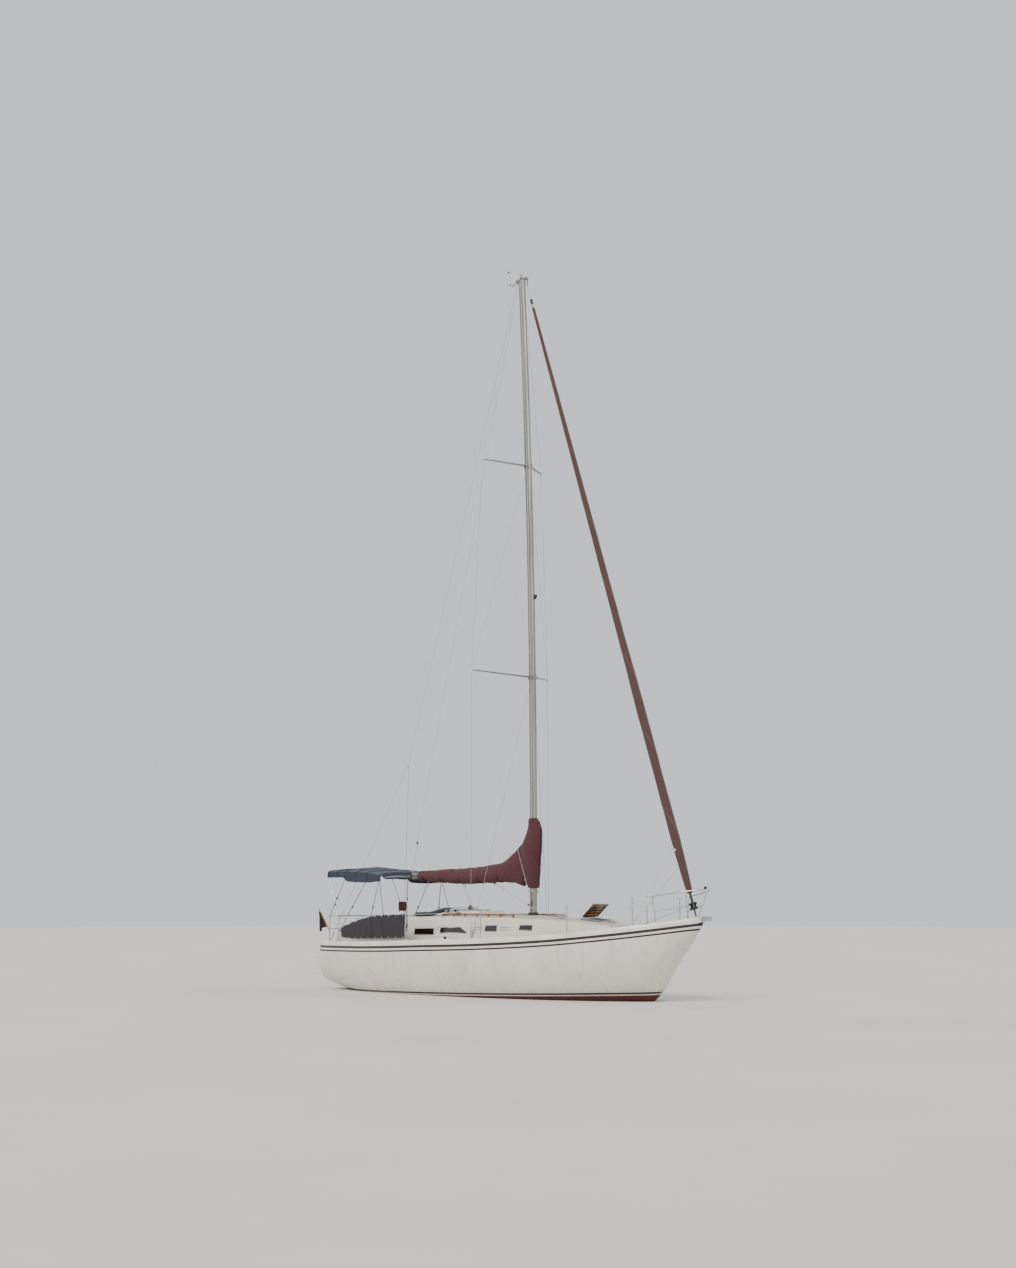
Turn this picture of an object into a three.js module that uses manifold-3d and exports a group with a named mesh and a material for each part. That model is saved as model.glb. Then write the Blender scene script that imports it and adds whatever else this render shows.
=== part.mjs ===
// Sailing yacht of about 10.5 m: hull, deck moulding, keel, rig, steering and deck gear.
// Lengths are in millimetres. X runs forward, Y to port and Z up.
// The origin is on the waterline, amidships, on the centreline.

import * as THREE from "three";
import { mergeVertices } from "three/addons/utils/BufferGeometryUtils.js";
import Module from "manifold-3d";

const wasm = await Module();
wasm.setup();

const SEAT = 0.3; // gap between pieces that rest on each other
const PIN = 0.5; // radial clearance of a pin in its bore
const SIDES = [1, -1]; // port, then starboard
const SIDE_NAME = { 1: "port", "-1": "starboard" };

// Hull stations from the stem aft. full shapes the section: below 1 is a full bilge, above 1 a V.
const STATIONS = [
  { x: 5490, half: 25, sheer: 1581, keel: 1545, full: 1.0 },
  { x: 5250, half: 230, sheer: 1545, keel: 1262, full: 1.25 },
  { x: 4900, half: 445, sheer: 1493, keel: 838, full: 1.45 },
  { x: 4500, half: 700, sheer: 1436, keel: 360, full: 1.6 },
  { x: 4150, half: 905, sheer: 1390, keel: -30, full: 1.5 },
  { x: 3500, half: 1195, sheer: 1318, keel: -235, full: 1.2 },
  { x: 2600, half: 1470, sheer: 1236, keel: -370, full: 0.9 },
  { x: 1500, half: 1680, sheer: 1170, keel: -440, full: 0.7 },
  { x: 300, half: 1765, sheer: 1122, keel: -460, full: 0.62 },
  { x: -900, half: 1780, sheer: 1090, keel: -440, full: 0.58 },
  { x: -2100, half: 1735, sheer: 1055, keel: -360, full: 0.55 },
  { x: -3200, half: 1630, sheer: 1035, keel: -235, full: 0.52 },
  { x: -4200, half: 1460, sheer: 1030, keel: -55, full: 0.5 },
  { x: -5100, half: 1270, sheer: 1035, keel: 115, full: 0.48 },
];
const HALF_SECTION_STEPS = 11;
const HULL_WALL = 90;
const TRANSOM = { top: [-4750, 1050], bottom: [-5010, 350] }; // x and z of two points on the raked panel

const DECK = { thick: 40, camber: 60, inset: 8, edge: 56 };
const WIDEST = 1780;

// Coachroof stations: half breadth at the deck and at the roof, height of the roof's edge, crown above it
const ROOF = [
  { x: -2000, base: 1170, top: 1030, edge: 1665, crown: 65 },
  { x: -600, base: 1200, top: 1050, edge: 1668, crown: 62 },
  { x: 848, base: 1130, top: 960, edge: 1655, crown: 58 },
  { x: 2000, base: 960, top: 770, edge: 1612, crown: 50 },
  { x: 2900, base: 745, top: 560, edge: 1548, crown: 40 },
  { x: 3500, base: 560, top: 400, edge: 1478, crown: 30 },
  { x: 3900, base: 410, top: 300, edge: 1425, crown: 18 },
];
const ROOF_WALL = 45;
const ROOF_INSIDE = { aft: -1955, front: 3840 };
// Cabin windows: aft and forward end, lower and upper edge, how far the front's top leans aft
const WINDOWS = [
  { aft: -1740, front: -1100, low: 1300, high: 1410, lean: 30 },
  { aft: -890, front: -65, low: 1340, high: 1440, lean: 240 },
  { aft: 450, front: 780, low: 1385, high: 1485, lean: 20 },
  { aft: 1360, front: 1690, low: 1405, high: 1490, lean: 20 },
];

const CABIN = { aft: -1860, front: 3650, sole: -280 };
const COCKPIT = {
  aft: -4480,
  front: -2000,
  half: 950,
  seat: 930,
  soleAft: -4300,
  soleHalf: 400,
  sole: 480,
  wall: 40,
  coamingTop: 1330,
  coamingOut: 1110,
  coamingFoot: 1066,
};
const COMPANIONWAY = { half: 300, sill: 1000, front: -1250 };
const SLIDING_HATCH = { aft: -2020, front: -1200, half: 330, low: 1752, thick: 22, railHigh: 1784 };
const GARAGE = { aft: -1180, front: -430, half: 368, wall: 18, high: 1812 };

// Lids lie ahead of their hinge pin: length and half width of the plate, in the lid's own frame
const LID = { start: 16, thick: 20, under: 9, gap: 5, barrel: 9, pin: 5, lugWide: 12, lugSide: 60 };
const FOREHATCH = { hinge: 2480, opening: 360, half: 245, frame: 34, length: 430, open: 44 };
const ANCHOR_LID = { hinge: 4330, length: 430, half: 180, depth: 320 };
const SEAT_LID = { hinge: 890, aft: -3320, front: -2280, length: 400, depth: 380 };

const KEEL = { root: -380, tip: -1680 };
const RUDDER = { stock: [-4010, 29], top: 300 }; // stock: x and radius
const SHAFT = { aft: [-3500, -460], front: -2450, radius: 12.5 };
const PROPELLER = { radius: 205, hub: 32, length: 90, blades: 3 };

const PEDESTAL = { x: -3560, high: 1400, axle: 1290, axleEnd: -3742 };
const WHEEL = { x: -3720, radius: 420, rim: 13, hub: 45, spokes: 5 };

// Mast: base on the coachroof, masthead, and the forward bow between them
const MAST = { x: 848, z: 1713, topX: 527, top: 16205, bow: 112, half: 60, chord: 95 };
const SPREADERS = [
  { name: "lower", z: 6904, reach: 1212, sweep: 689, lift: 120, chord: 125 },
  { name: "upper", z: 11741, reach: 949, sweep: 512, lift: 92, chord: 105 },
];
const CHAINPLATE = { x: 150, y: 1205, z: 1250 };
const WIRE = 4;
const GOOSENECK = { x: 712, z: 2500, topX: 400, topZ: 16200 };
const BOOM = { front: 660, end: -3100, endZ: 2610, half: 50, high: 75 };
const FORESTAY = { low: [5340, 1665], high: [702, 16040], radius: 4.6 };
const BACKSTAY = { high: [372, 16148], split: [-3270, 5170], foot: [-4644, 1136, 1141] };

const DECK_TUBE = 12.5;
const RAIL_SIDES = 6;
const STANCHIONS = [
  { x: -3010, y: 1570 },
  { x: -1410, y: 1690 },
  { x: 900, y: 1650 },
  { x: 3000, y: 1255 },
  { x: 4310, y: 745 },
];
const STANCHION_HIGH = 610;
const LIFELINE = 3;
const CLOTH = { aft: -3840, front: -1420, low: 140, high: 655, thick: 5 };
// The top edge curves down over one end of the cloth
const CLOTH_FALL = { from: -2350, drop: 250, power: 1.6 };

const CANOPY = { half: 1000, shoulder: 982, flank: 620, flankFall: 0.38, cornerShare: 0.3, skin: 8 };
// Canopy sections: the skirt's lower edge, shoulder, crown, and how far forward the corners stand
const CANOPY_ROWS = [
  { x: -4980, skirt: 2585, shoulder: 2715, crown: 2800, corner: 0 },
  { x: -4420, skirt: 2570, shoulder: 2710, crown: 2822, corner: 0 },
  { x: -4230, skirt: 2475, shoulder: 2705, crown: 2825, corner: 0 },
  { x: -3550, skirt: 2450, shoulder: 2665, crown: 2755, corner: 0 },
  { x: -3220, skirt: 2470, shoulder: 2600, crown: 2690, corner: 150 },
];
// Hoops of the canopy: where each crosses the centreline and where its ends stand
const HOOP_FEET = { y: 1080, aft: -4380, front: -3390, socket: 20, high: 55, seat: 40 };
const HOOPS = [
  { x: -4930, foot: HOOP_FEET.aft },
  { x: -4330, onPushpit: true },
  { x: -3560, foot: HOOP_FEET.aft },
  { x: -3270, foot: HOOP_FEET.front },
];
const HOOP_SEAT = { overlap: 2, inward: 6, aboveSkirt: 20 }; // how a hoop lies against the cloth
const SPREADER_BAR = 10;
const PUSHPIT_TOP = { z: 1692, lowerRail: 1392, lowerTube: 11, foot: 1060, segments: 18 };
const RAIL_CLAMP = { half: 20, way: 1600 };

const FINISH = {
  gelcoat: { color: "#e8e4dc", roughness: 0.25, metalness: 0 },
  deck: { color: "#e2ddd2", roughness: 0.5, metalness: 0 },
  antifouling: { color: "#5c241c", roughness: 0.8, metalness: 0 },
  bronze: { color: "#9a7440", roughness: 0.4, metalness: 1 },
  stainless: { color: "#c9c9c8", roughness: 0.2, metalness: 1 },
  alloy: { color: "#b4b2ae", roughness: 0.4, metalness: 1 },
  teak: { color: "#8a5a34", roughness: 0.6, metalness: 0 },
  acrylic: { color: "#c07a3c", roughness: 0.1, metalness: 0 },
  maroon: { color: "#4a1d22", roughness: 0.9, metalness: 0 },
  navy: { color: "#26303f", roughness: 0.9, metalness: 0 },
  sail: { color: "#dcd7cc", roughness: 0.8, metalness: 0 },
  iron: { color: "#4c4f50", roughness: 0.6, metalness: 0.5 },
  rubber: { color: "#1c1c1c", roughness: 0.7, metalness: 0 },
};

const yacht = new THREE.Group();
yacht.name = "sailing_yacht";

// Solids and how they join

function toSolid(geometry) {
  const plain = geometry.clone();
  plain.deleteAttribute("normal");
  plain.deleteAttribute("uv");
  const merged = mergeVertices(plain, 1e-3);
  const corners = Array.from(merged.index.array);
  const triangles = [];
  for (let i = 0; i < corners.length; i += 3) {
    const [a, b, c] = corners.slice(i, i + 3);
    if (a !== b && b !== c && a !== c) {
      triangles.push(a, b, c);
    }
  }
  return fromArrays(Float32Array.from(merged.attributes.position.array), triangles);
}

function fromArrays(vertProperties, triangles) {
  const triVerts = Uint32Array.from(triangles);
  return new wasm.Manifold(new wasm.Mesh({ numProp: 3, vertProperties, triVerts }));
}

function toGeometry(solid) {
  const mesh = solid.getMesh();
  const geometry = new THREE.BufferGeometry();
  geometry.setAttribute("position", new THREE.BufferAttribute(Float32Array.from(mesh.vertProperties), 3));
  geometry.setIndex(Array.from(mesh.triVerts));
  geometry.computeVertexNormals();
  return geometry;
}

function placed(solid, position, turn = [0, 0, 0]) {
  const matrix = new THREE.Matrix4().makeRotationFromEuler(new THREE.Euler(...turn));
  matrix.setPosition(...position);
  const mesh = solid.getMesh();
  const points = new THREE.BufferAttribute(Float32Array.from(mesh.vertProperties), 3);
  points.applyMatrix4(matrix);
  return fromArrays(points.array, mesh.triVerts);
}

// The same solid on the other side of the centreline
function onSide(solid, side) {
  if (side === 1) {
    return solid;
  }
  const mesh = solid.getMesh();
  const points = Float32Array.from(mesh.vertProperties, (value, i) => (i % 3 === 1 ? -value : value));
  const triangles = Array.from(mesh.triVerts, (_, i) => mesh.triVerts[i - (i % 3) + [0, 2, 1][i % 3]]);
  return fromArrays(points, triangles);
}

const join = (...solids) => solids.reduce((a, b) => a.add(b));
const cut = (solid, ...tools) => tools.reduce((a, b) => a.subtract(b), solid);
const point = (x, y, z) => new THREE.Vector3(x, y, z);

function add(name, solid, finish, position = [0, 0, 0], turn = [0, 0, 0]) {
  const mesh = new THREE.Mesh(toGeometry(solid), new THREE.MeshStandardMaterial(FINISH[finish]));
  mesh.name = name;
  mesh.position.set(...position);
  mesh.rotation.set(...turn);
  yacht.add(mesh);
}

// Plain shapes

function box(x0, x1, y0, y1, z0, z1) {
  const geometry = new THREE.BoxGeometry(x1 - x0, y1 - y0, z1 - z0);
  return toSolid(geometry.translate((x0 + x1) / 2, (y0 + y1) / 2, (z0 + z1) / 2));
}

function rod(from, to, radius, sides = 8) {
  const along = to.clone().sub(from);
  const geometry = new THREE.CylinderGeometry(radius, radius, along.length(), sides);
  const turn = new THREE.Quaternion().setFromUnitVectors(point(0, 1, 0), along.clone().normalize());
  geometry.applyQuaternion(turn);
  const middle = from.clone().add(to).multiplyScalar(0.5);
  return toSolid(geometry.translate(middle.x, middle.y, middle.z));
}

function polyRod(points, radius, sides = 8) {
  return join(...points.slice(1).map((end, i) => rod(points[i], end, radius, sides)));
}

function circle(radius, sides) {
  const shape = new THREE.Shape();
  for (let i = 0; i < sides; i += 1) {
    const angle = (i / sides) * 2 * Math.PI;
    const move = i === 0 ? "moveTo" : "lineTo";
    shape[move](radius * Math.cos(angle), radius * Math.sin(angle));
  }
  return shape;
}

function tube(points, radius, steps, sides = 8) {
  const extrudePath = new THREE.CatmullRomCurve3(points, false, "centripetal");
  return toSolid(new THREE.ExtrudeGeometry(circle(radius, sides), { steps, extrudePath }));
}

function lathe(profile, sides = 16) {
  const points = profile.map(([radius, z]) => new THREE.Vector2(radius, z));
  const geometry = new THREE.LatheGeometry(points, sides);
  return toSolid(geometry.rotateX(Math.PI / 2));
}

// A closed skin through rings of equal count, with flat ends
function loft(rings) {
  const count = rings[0].length;
  const index = [];
  for (let r = 0; r + 1 < rings.length; r += 1) {
    for (let i = 0; i < count; i += 1) {
      const a = r * count + i;
      const b = r * count + ((i + 1) % count);
      index.push(a, b, b + count, a, b + count, a + count);
    }
  }
  const last = (rings.length - 1) * count;
  for (let i = 1; i + 1 < count; i += 1) {
    index.push(0, i + 1, i, last, last + i, last + i + 1);
  }
  const points = rings.flat();
  let volume = 0;
  for (let i = 0; i < index.length; i += 3) {
    const [a, b, c] = [points[index[i]], points[index[i + 1]], points[index[i + 2]]];
    volume += a.dot(b.clone().cross(c));
  }
  const facing = volume > 0 ? index : index.map((_, i) => index[i - (i % 3) + [0, 2, 1][i % 3]]);
  return fromArrays(Float32Array.from(points.flatMap((p) => [p.x, p.y, p.z])), facing);
}

// Values between the rows of a table, by x
function between(table, x) {
  const rows = [...table].sort((a, b) => a.x - b.x);
  const last = rows.length - 1;
  let i = rows.findIndex((row) => row.x >= x);
  i = i === -1 ? last : Math.max(i, 1);
  const [low, high] = [rows[i - 1], rows[i]];
  const share = (x - low.x) / (high.x - low.x);
  const mixed = {};
  Object.keys(low).forEach((key) => {
    mixed[key] = low[key] + (high[key] - low[key]) * share;
  });
  return mixed;
}

// Hull, with its top flat across at the sheer

function hullRing(station, inset, rise) {
  const { x, half, sheer, keel, full } = station;
  const ring = [];
  for (let i = -HALF_SECTION_STEPS; i <= HALF_SECTION_STEPS; i += 1) {
    const turn = (Math.abs(i) / HALF_SECTION_STEPS) * (Math.PI / 2);
    const y = Math.sign(i) * (half - inset) * Math.sin(turn) ** full;
    ring.push(point(x, y, keel + inset + (sheer + rise - keel - inset) * (1 - Math.cos(turn))));
  }
  return ring;
}

const transomRake = Math.atan2(TRANSOM.top[0] - TRANSOM.bottom[0], TRANSOM.top[1] - TRANSOM.bottom[1]);
const astern = placed(
  box(-2000, 0, -3000, 3000, -3000, 3000),
  [TRANSOM.top[0], 0, TRANSOM.top[1]],
  [0, transomRake, 0],
);
const hullSkin = loft(STATIONS.map((station) => hullRing(station, 0, 0)));
const cabinStations = STATIONS.filter(({ x }) => x < 4200 && x > -2200);
const cabinWell = loft(cabinStations.map((station) => hullRing(station, HULL_WALL, 60)))
  .intersect(box(CABIN.aft, CABIN.front, -2000, 2000, CABIN.sole, 2000));

const { wall } = COCKPIT;
const tubSeat = [COCKPIT.aft - wall, COCKPIT.front + wall, -990, 990, COCKPIT.seat - 80];
const tubSole = [COCKPIT.soleAft - wall, COCKPIT.front + wall, -440, 440, COCKPIT.sole - wall];
const grown = ([x0, x1, y0, y1, z0]) => [x0 - SEAT, x1 + SEAT, y0 - SEAT, y1 + SEAT, z0 - SEAT];
const companionway = box(
  COCKPIT.front - 40, CABIN.aft + 10, -COMPANIONWAY.half, COMPANIONWAY.half, COMPANIONWAY.sill, 1900,
);
const companionTop = box(
  COCKPIT.front - 40, COMPANIONWAY.front, -COMPANIONWAY.half, COMPANIONWAY.half, 1560, 1900,
);

// Shaft line, from the propeller forward and up
const shaftSlope = 0.2267;
const shaftAt = (x) => point(x, 0, SHAFT.aft[1] + (x - SHAFT.aft[0]) * shaftSlope);

const anchorSlope = Math.atan((1493 - 1436) / 400);
const anchorDeck = between(STATIONS, ANCHOR_LID.hinge);
const anchorHinge = [
  ANCHOR_LID.hinge, 0, anchorDeck.sheer + SEAT + DECK.thick + DECK.camber * (anchorDeck.half / WIDEST) + 14,
];
const anchorWell = box(
  ANCHOR_LID.hinge + 50, ANCHOR_LID.hinge + 390, -140, 140, anchorDeck.sheer - ANCHOR_LID.depth, 1900,
);
const seatWell = box(
  SEAT_LID.aft + 60, SEAT_LID.front - 60, 530, SEAT_LID.hinge - 60, COCKPIT.seat - SEAT_LID.depth, 1000,
);

const hull = cut(
  hullSkin,
  astern,
  cabinWell,
  box(...grown(tubSeat), 1400),
  box(...grown(tubSole), 1400),
  companionway,
  anchorWell,
  seatWell,
  onSide(seatWell, -1),
  rod(point(RUDDER.stock[0], 0, -400), point(RUDDER.stock[0], 0, RUDDER.top + 5), RUDDER.stock[1] + 0.9, 16),
  rod(shaftAt(SHAFT.front + 5), shaftAt(-3100), SHAFT.radius + 0.8, 16),
);

// Deck moulding: side decks, coachroof, coamings, cockpit tub, garage and hatch rails

function deckRing({ x, half, sheer }) {
  const outer = half - DECK.inset;
  const inner = outer - Math.min(DECK.edge, outer * 0.3);
  const low = sheer + SEAT;
  const high = low + DECK.thick;
  const crown = DECK.camber * (half / WIDEST);
  return [
    point(x, -outer, low),
    point(x, outer, low),
    point(x, outer, high),
    point(x, inner, high),
    point(x, inner * 0.55, high + crown * 0.75),
    point(x, 0, high + crown),
    point(x, -inner * 0.55, high + crown * 0.75),
    point(x, -inner, high),
    point(x, -outer, high),
  ];
}

function roofRing({ x, base, top, edge, crown }, inset, foot) {
  const low = between(STATIONS, x).sheer + foot;
  const high = edge - inset;
  const [b, t] = [base - inset, top - inset];
  const shoulder = b + (t - b) * 0.88;
  const half = [
    [b, low],
    [shoulder, low + (high - low) * 0.88],
    [t - 30, high + crown * 0.1],
    [t * 0.6, high + crown * 0.66],
  ];
  return [
    ...half.map(([y, z]) => point(x, y, z)),
    point(x, 0, high + crown),
    ...half.reverse().map(([y, z]) => point(x, -y, z)),
  ];
}

const roofTop = (x) => {
  const row = between(ROOF, x);
  return row.edge + row.crown;
};
const insideRoof = ROOF.map((row) => {
  const x = Math.min(Math.max(row.x, ROOF_INSIDE.aft), ROOF_INSIDE.front);
  return { ...row, x };
});
const plate = loft(STATIONS.map(deckRing));
const roofOuter = loft(ROOF.map((row) => roofRing(row, 0, 5)));
const roofInner = loft(insideRoof.map((row) => roofRing(row, ROOF_WALL, -60)));

const coaming = box(
  COCKPIT.aft, COCKPIT.front + 5, COCKPIT.half, COCKPIT.coamingOut, COCKPIT.coamingFoot, COCKPIT.coamingTop,
);
const garageLow = 1690;
const hatchRail = box(
  SLIDING_HATCH.aft + 25, GARAGE.aft + 5, SLIDING_HATCH.half + 0.6, SLIDING_HATCH.half + 24, garageLow,
  SLIDING_HATCH.railHigh,
);
const garage = cut(
  box(GARAGE.aft, GARAGE.front, -GARAGE.half, GARAGE.half, garageLow, GARAGE.high),
  box(
    GARAGE.aft - 5, GARAGE.front - GARAGE.wall, -GARAGE.half + GARAGE.wall, GARAGE.half - GARAGE.wall,
    garageLow - 5, GARAGE.high - GARAGE.wall,
  ),
);

// Hinge pins on the fixed side, and the lid that turns on them, both with the pin along Y at the origin
const rodY = (half, radius) => rod(point(0, -half, 0), point(0, half, 0), radius, 12);

function hingeLugs(half, foot) {
  const start = half - LID.lugSide;
  const end = start + LID.lugWide;
  const lugs = SIDES.map((side) => onSide(box(-8, 8, start, end, -foot, 9), side));
  return join(rodY(end, LID.pin), ...lugs);
}

function lidSolid(half, length) {
  const reach = half - LID.lugSide - 1;
  const plateSolid = box(LID.start, length, -half, half, -LID.under, LID.thick - LID.under);
  const tab = box(0, LID.start + 4, -reach, reach, -LID.under, LID.under);
  return cut(join(plateSolid, tab, rodY(reach, LID.barrel)), rodY(half, LID.pin + PIN));
}

const seatHinge = (side) => [
  (SEAT_LID.aft + SEAT_LID.front) / 2, side * SEAT_LID.hinge, COCKPIT.seat + LID.gap + LID.under,
];
const seatLidHalf = (SEAT_LID.front - SEAT_LID.aft) / 2;
const seatTurn = (side) => [0, 0, (-side * Math.PI) / 2];
const windowCuts = WINDOWS.map(({ aft, front, low, high, lean }) => loft([600, 1400].map((y) => [
  point(aft, y, low), point(front, y, low), point(front - lean, y, high), point(aft, y, high),
])));
const chainplate = box(
  CHAINPLATE.x - 28, CHAINPLATE.x + 28, CHAINPLATE.y - 5, CHAINPLATE.y + 5, 1150, CHAINPLATE.z - 6,
);
const sternPlate = box(
  BACKSTAY.foot[0] - 25, BACKSTAY.foot[0] + 25, BACKSTAY.foot[1] - 5, BACKSTAY.foot[1] + 5, 1050,
  BACKSTAY.foot[2] - 6,
);

const deckBody = join(
  plate,
  roofOuter,
  coaming,
  onSide(coaming, -1),
  box(...tubSeat, 1078),
  box(...tubSole, COCKPIT.seat - 40),
);
const deckOpen = cut(
  deckBody,
  roofInner,
  box(COCKPIT.aft, COCKPIT.front, -COCKPIT.half, COCKPIT.half, COCKPIT.seat, 1900),
  box(COCKPIT.soleAft, COCKPIT.front, -COCKPIT.soleHalf, COCKPIT.soleHalf, COCKPIT.sole, 1900),
  companionway,
  companionTop,
  anchorWell,
  seatWell,
  onSide(seatWell, -1),
  ...windowCuts,
  ...windowCuts.map((solid) => onSide(solid, -1)),
  box(FOREHATCH.hinge + 40, FOREHATCH.hinge + 40 + FOREHATCH.opening, -200, 200, 1400, 1900),
  astern,
);
const deckFittings = join(
  hatchRail,
  onSide(hatchRail, -1),
  garage,
  chainplate,
  onSide(chainplate, -1),
  sternPlate,
  onSide(sternPlate, -1),
  placed(hingeLugs(ANCHOR_LID.half, 26), anchorHinge, [0, -anchorSlope, 0]),
  ...SIDES.map((side) => placed(hingeLugs(seatLidHalf, 20), seatHinge(side), seatTurn(side))),
);
const deck = join(deckOpen, deckFittings);
const deckRaised = placed(deck, [0, 0, SEAT]);

// The long mouldings are parted across, clear of the cockpit and of the cabin's ends
const PARTING = { cockpit: -1950, foreDeck: 2400, foreBody: 3700 };
const lengthOf = (solid, aft, front) => solid.intersect(box(aft, front, -3000, 3000, -3000, 3000));
add("hull_aft", lengthOf(hull, -6000, PARTING.cockpit - SEAT), "gelcoat");
add("hull_middle", lengthOf(hull, PARTING.cockpit, PARTING.foreBody - SEAT), "gelcoat");
add("hull_fore", lengthOf(hull, PARTING.foreBody, 6000), "gelcoat");
add("deck_cockpit", lengthOf(deck, -6000, PARTING.cockpit - SEAT), "deck");
add("deck_middle", lengthOf(deck, PARTING.cockpit, PARTING.foreDeck - SEAT), "deck");
add("deck_fore", lengthOf(deck, PARTING.foreDeck, 6000), "deck");
const anchorLid = lidSolid(ANCHOR_LID.half, ANCHOR_LID.length);
add("anchor_locker_lid", anchorLid, "deck", anchorHinge, [0, -anchorSlope, 0]);
SIDES.forEach((side) => {
  const name = `cockpit_locker_lid_${SIDE_NAME[side]}`;
  add(name, lidSolid(seatLidHalf, SEAT_LID.length), "teak", seatHinge(side), seatTurn(side));
});

// Toe rails along both edges, from the transom to the stem fitting
const RAIL_END = 5300;
const railStations = [
  { ...between(STATIONS, RAIL_END), x: RAIL_END },
  ...STATIONS.filter(({ x }) => x < RAIL_END && x > -4700),
  { ...between(STATIONS, -4700), x: -4700 },
];
const toeRail = loft(railStations.map(({ x, half, sheer }) => {
  const outer = half - DECK.inset;
  const low = sheer + DECK.thick + 2 * SEAT;
  return [
    point(x, outer - 42, low),
    point(x, outer, low),
    point(x, outer - 4, low + 42),
    point(x, outer - 14, low + 55),
    point(x, outer - 30, low + 50),
    point(x, outer - 40, low + 28),
  ];
}));
SIDES.forEach((side) => add(`toe_rail_${SIDE_NAME[side]}`, onSide(toeRail, side), "gelcoat"));

// Keel, rudder, propeller and shaft

// Each point of a foil: share of its chord, share of its half thickness
const FOIL = [[0, 0], [0.03, 0.5], [0.12, 0.86], [0.32, 1], [0.6, 0.78], [1, 0.05]];
function foilRing(lead, trail, half, zLead, zTrail = zLead) {
  const at = ([share, thick], side) => {
    const x = lead + (trail - lead) * share;
    return point(x, side * half * thick, zLead + (zTrail - zLead) * share);
  };
  const port = FOIL.map((row) => at(row, 1));
  const starboard = FOIL.slice(1).reverse().map((row) => at(row, -1));
  return [...port, ...starboard];
}

const keel = cut(
  loft([
    foilRing(1330, -1180, 140, KEEL.root),
    foilRing(1180, -1080, 125, -620),
    foilRing(760, -960, 100, -1400),
    foilRing(660, -940, 110, KEEL.tip),
  ]),
  placed(hullSkin, [0, 0, -SEAT]),
);
add("keel", keel, "antifouling");

const [stockX, stockR] = RUDDER.stock;
const rudder = join(
  loft([foilRing(-3850, -4440, 36, -155, -95), foilRing(-3900, -4300, 22, -1480)]),
  rod(point(stockX, 0, -320), point(stockX, 0, RUDDER.top), stockR, 16),
);
add("rudder", rudder, "antifouling");

const shaft = rod(shaftAt(SHAFT.aft[0]), shaftAt(SHAFT.front), SHAFT.radius, 16);
add("propeller_shaft", shaft, "stainless");

// Blade sections: radius, chord, thickness and pitch angle in degrees
const BLADE = [
  { radius: 20, chord: 60, thick: 12, pitch: 58 },
  { radius: 80, chord: 105, thick: 9, pitch: 42 },
  { radius: 150, chord: 110, thick: 6, pitch: 28 },
  { radius: PROPELLER.radius, chord: 40, thick: 3, pitch: 20 },
];
const blade = loft(BLADE.map(({ radius, chord, thick, pitch }) => {
  const angle = THREE.MathUtils.degToRad(pitch);
  const corners = [[-0.5, 0], [-0.2, 0.5], [0.25, 0.5], [0.5, 0], [0.25, -0.5], [-0.2, -0.5]];
  return corners.map(([c, t]) => {
    const [along, off] = [c * chord, t * thick];
    return point(
      along * Math.sin(angle) - off * Math.cos(angle),
      along * Math.cos(angle) + off * Math.sin(angle),
      radius,
    );
  });
}));
const turns = Array.from({ length: PROPELLER.blades }, (_, i) => (i / PROPELLER.blades) * 2 * Math.PI);
const hubHalf = PROPELLER.length / 2;
const propeller = join(
  rod(point(-hubHalf, 0, 0), point(hubHalf, 0, 0), PROPELLER.hub, 16),
  ...turns.map((turn) => placed(blade, [0, 0, 0], [turn, 0, 0])),
);
const shaftTilt = -Math.atan(shaftSlope);
const hubCentre = shaftAt(SHAFT.aft[0] - (hubHalf + SEAT) * Math.cos(shaftTilt));
add("propeller", propeller, "bronze", hubCentre.toArray(), [0, shaftTilt, 0]);

const STRUT_X = -3330;
const strutBarrel = rod(shaftAt(STRUT_X - 45), shaftAt(STRUT_X + 45), 24, 16);
const strutArm = loft([
  foilRing(STRUT_X + 32, STRUT_X - 38, 9, -425),
  foilRing(STRUT_X + 42, STRUT_X - 48, 11, -190),
]);
const strut = cut(
  join(strutBarrel, strutArm),
  rod(shaftAt(STRUT_X - 80), shaftAt(STRUT_X + 80), SHAFT.radius + PIN + 0.2, 16),
  placed(hullSkin, [0, 0, -SEAT]),
);
add("shaft_strut", strut, "bronze");
add("engine", box(-1800, -1150, -250, 250, CABIN.sole + SEAT, 330), "iron");

// Hatches

const hatchSlope = Math.atan((roofTop(2900) - roofTop(2000)) / 900);
const framePlace = [FOREHATCH.hinge, 0, roofTop(FOREHATCH.hinge)];
const frameTurn = [0, -hatchSlope, 0];
const frameRing = cut(
  box(-18, 460, -FOREHATCH.half - 12, FOREHATCH.half + 12, -30, FOREHATCH.frame),
  box(36, 408, -204, 204, -60, 60),
);
const hatchPin = [0, 0, FOREHATCH.frame + LID.gap + LID.under];
const frameLocal = join(frameRing, placed(hingeLugs(FOREHATCH.half, 20), hatchPin));
const hatchFrame = cut(placed(frameLocal, framePlace, frameTurn), deckRaised);
add("forehatch_frame", hatchFrame, "alloy");
const lidAt = point(...hatchPin).applyEuler(new THREE.Euler(...frameTurn)).add(point(...framePlace));
const lidTurn = -THREE.MathUtils.degToRad(FOREHATCH.open) - hatchSlope;
add("forehatch_lid", lidSolid(FOREHATCH.half, FOREHATCH.length), "acrylic", lidAt.toArray(), [0, lidTurn, 0]);

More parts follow.
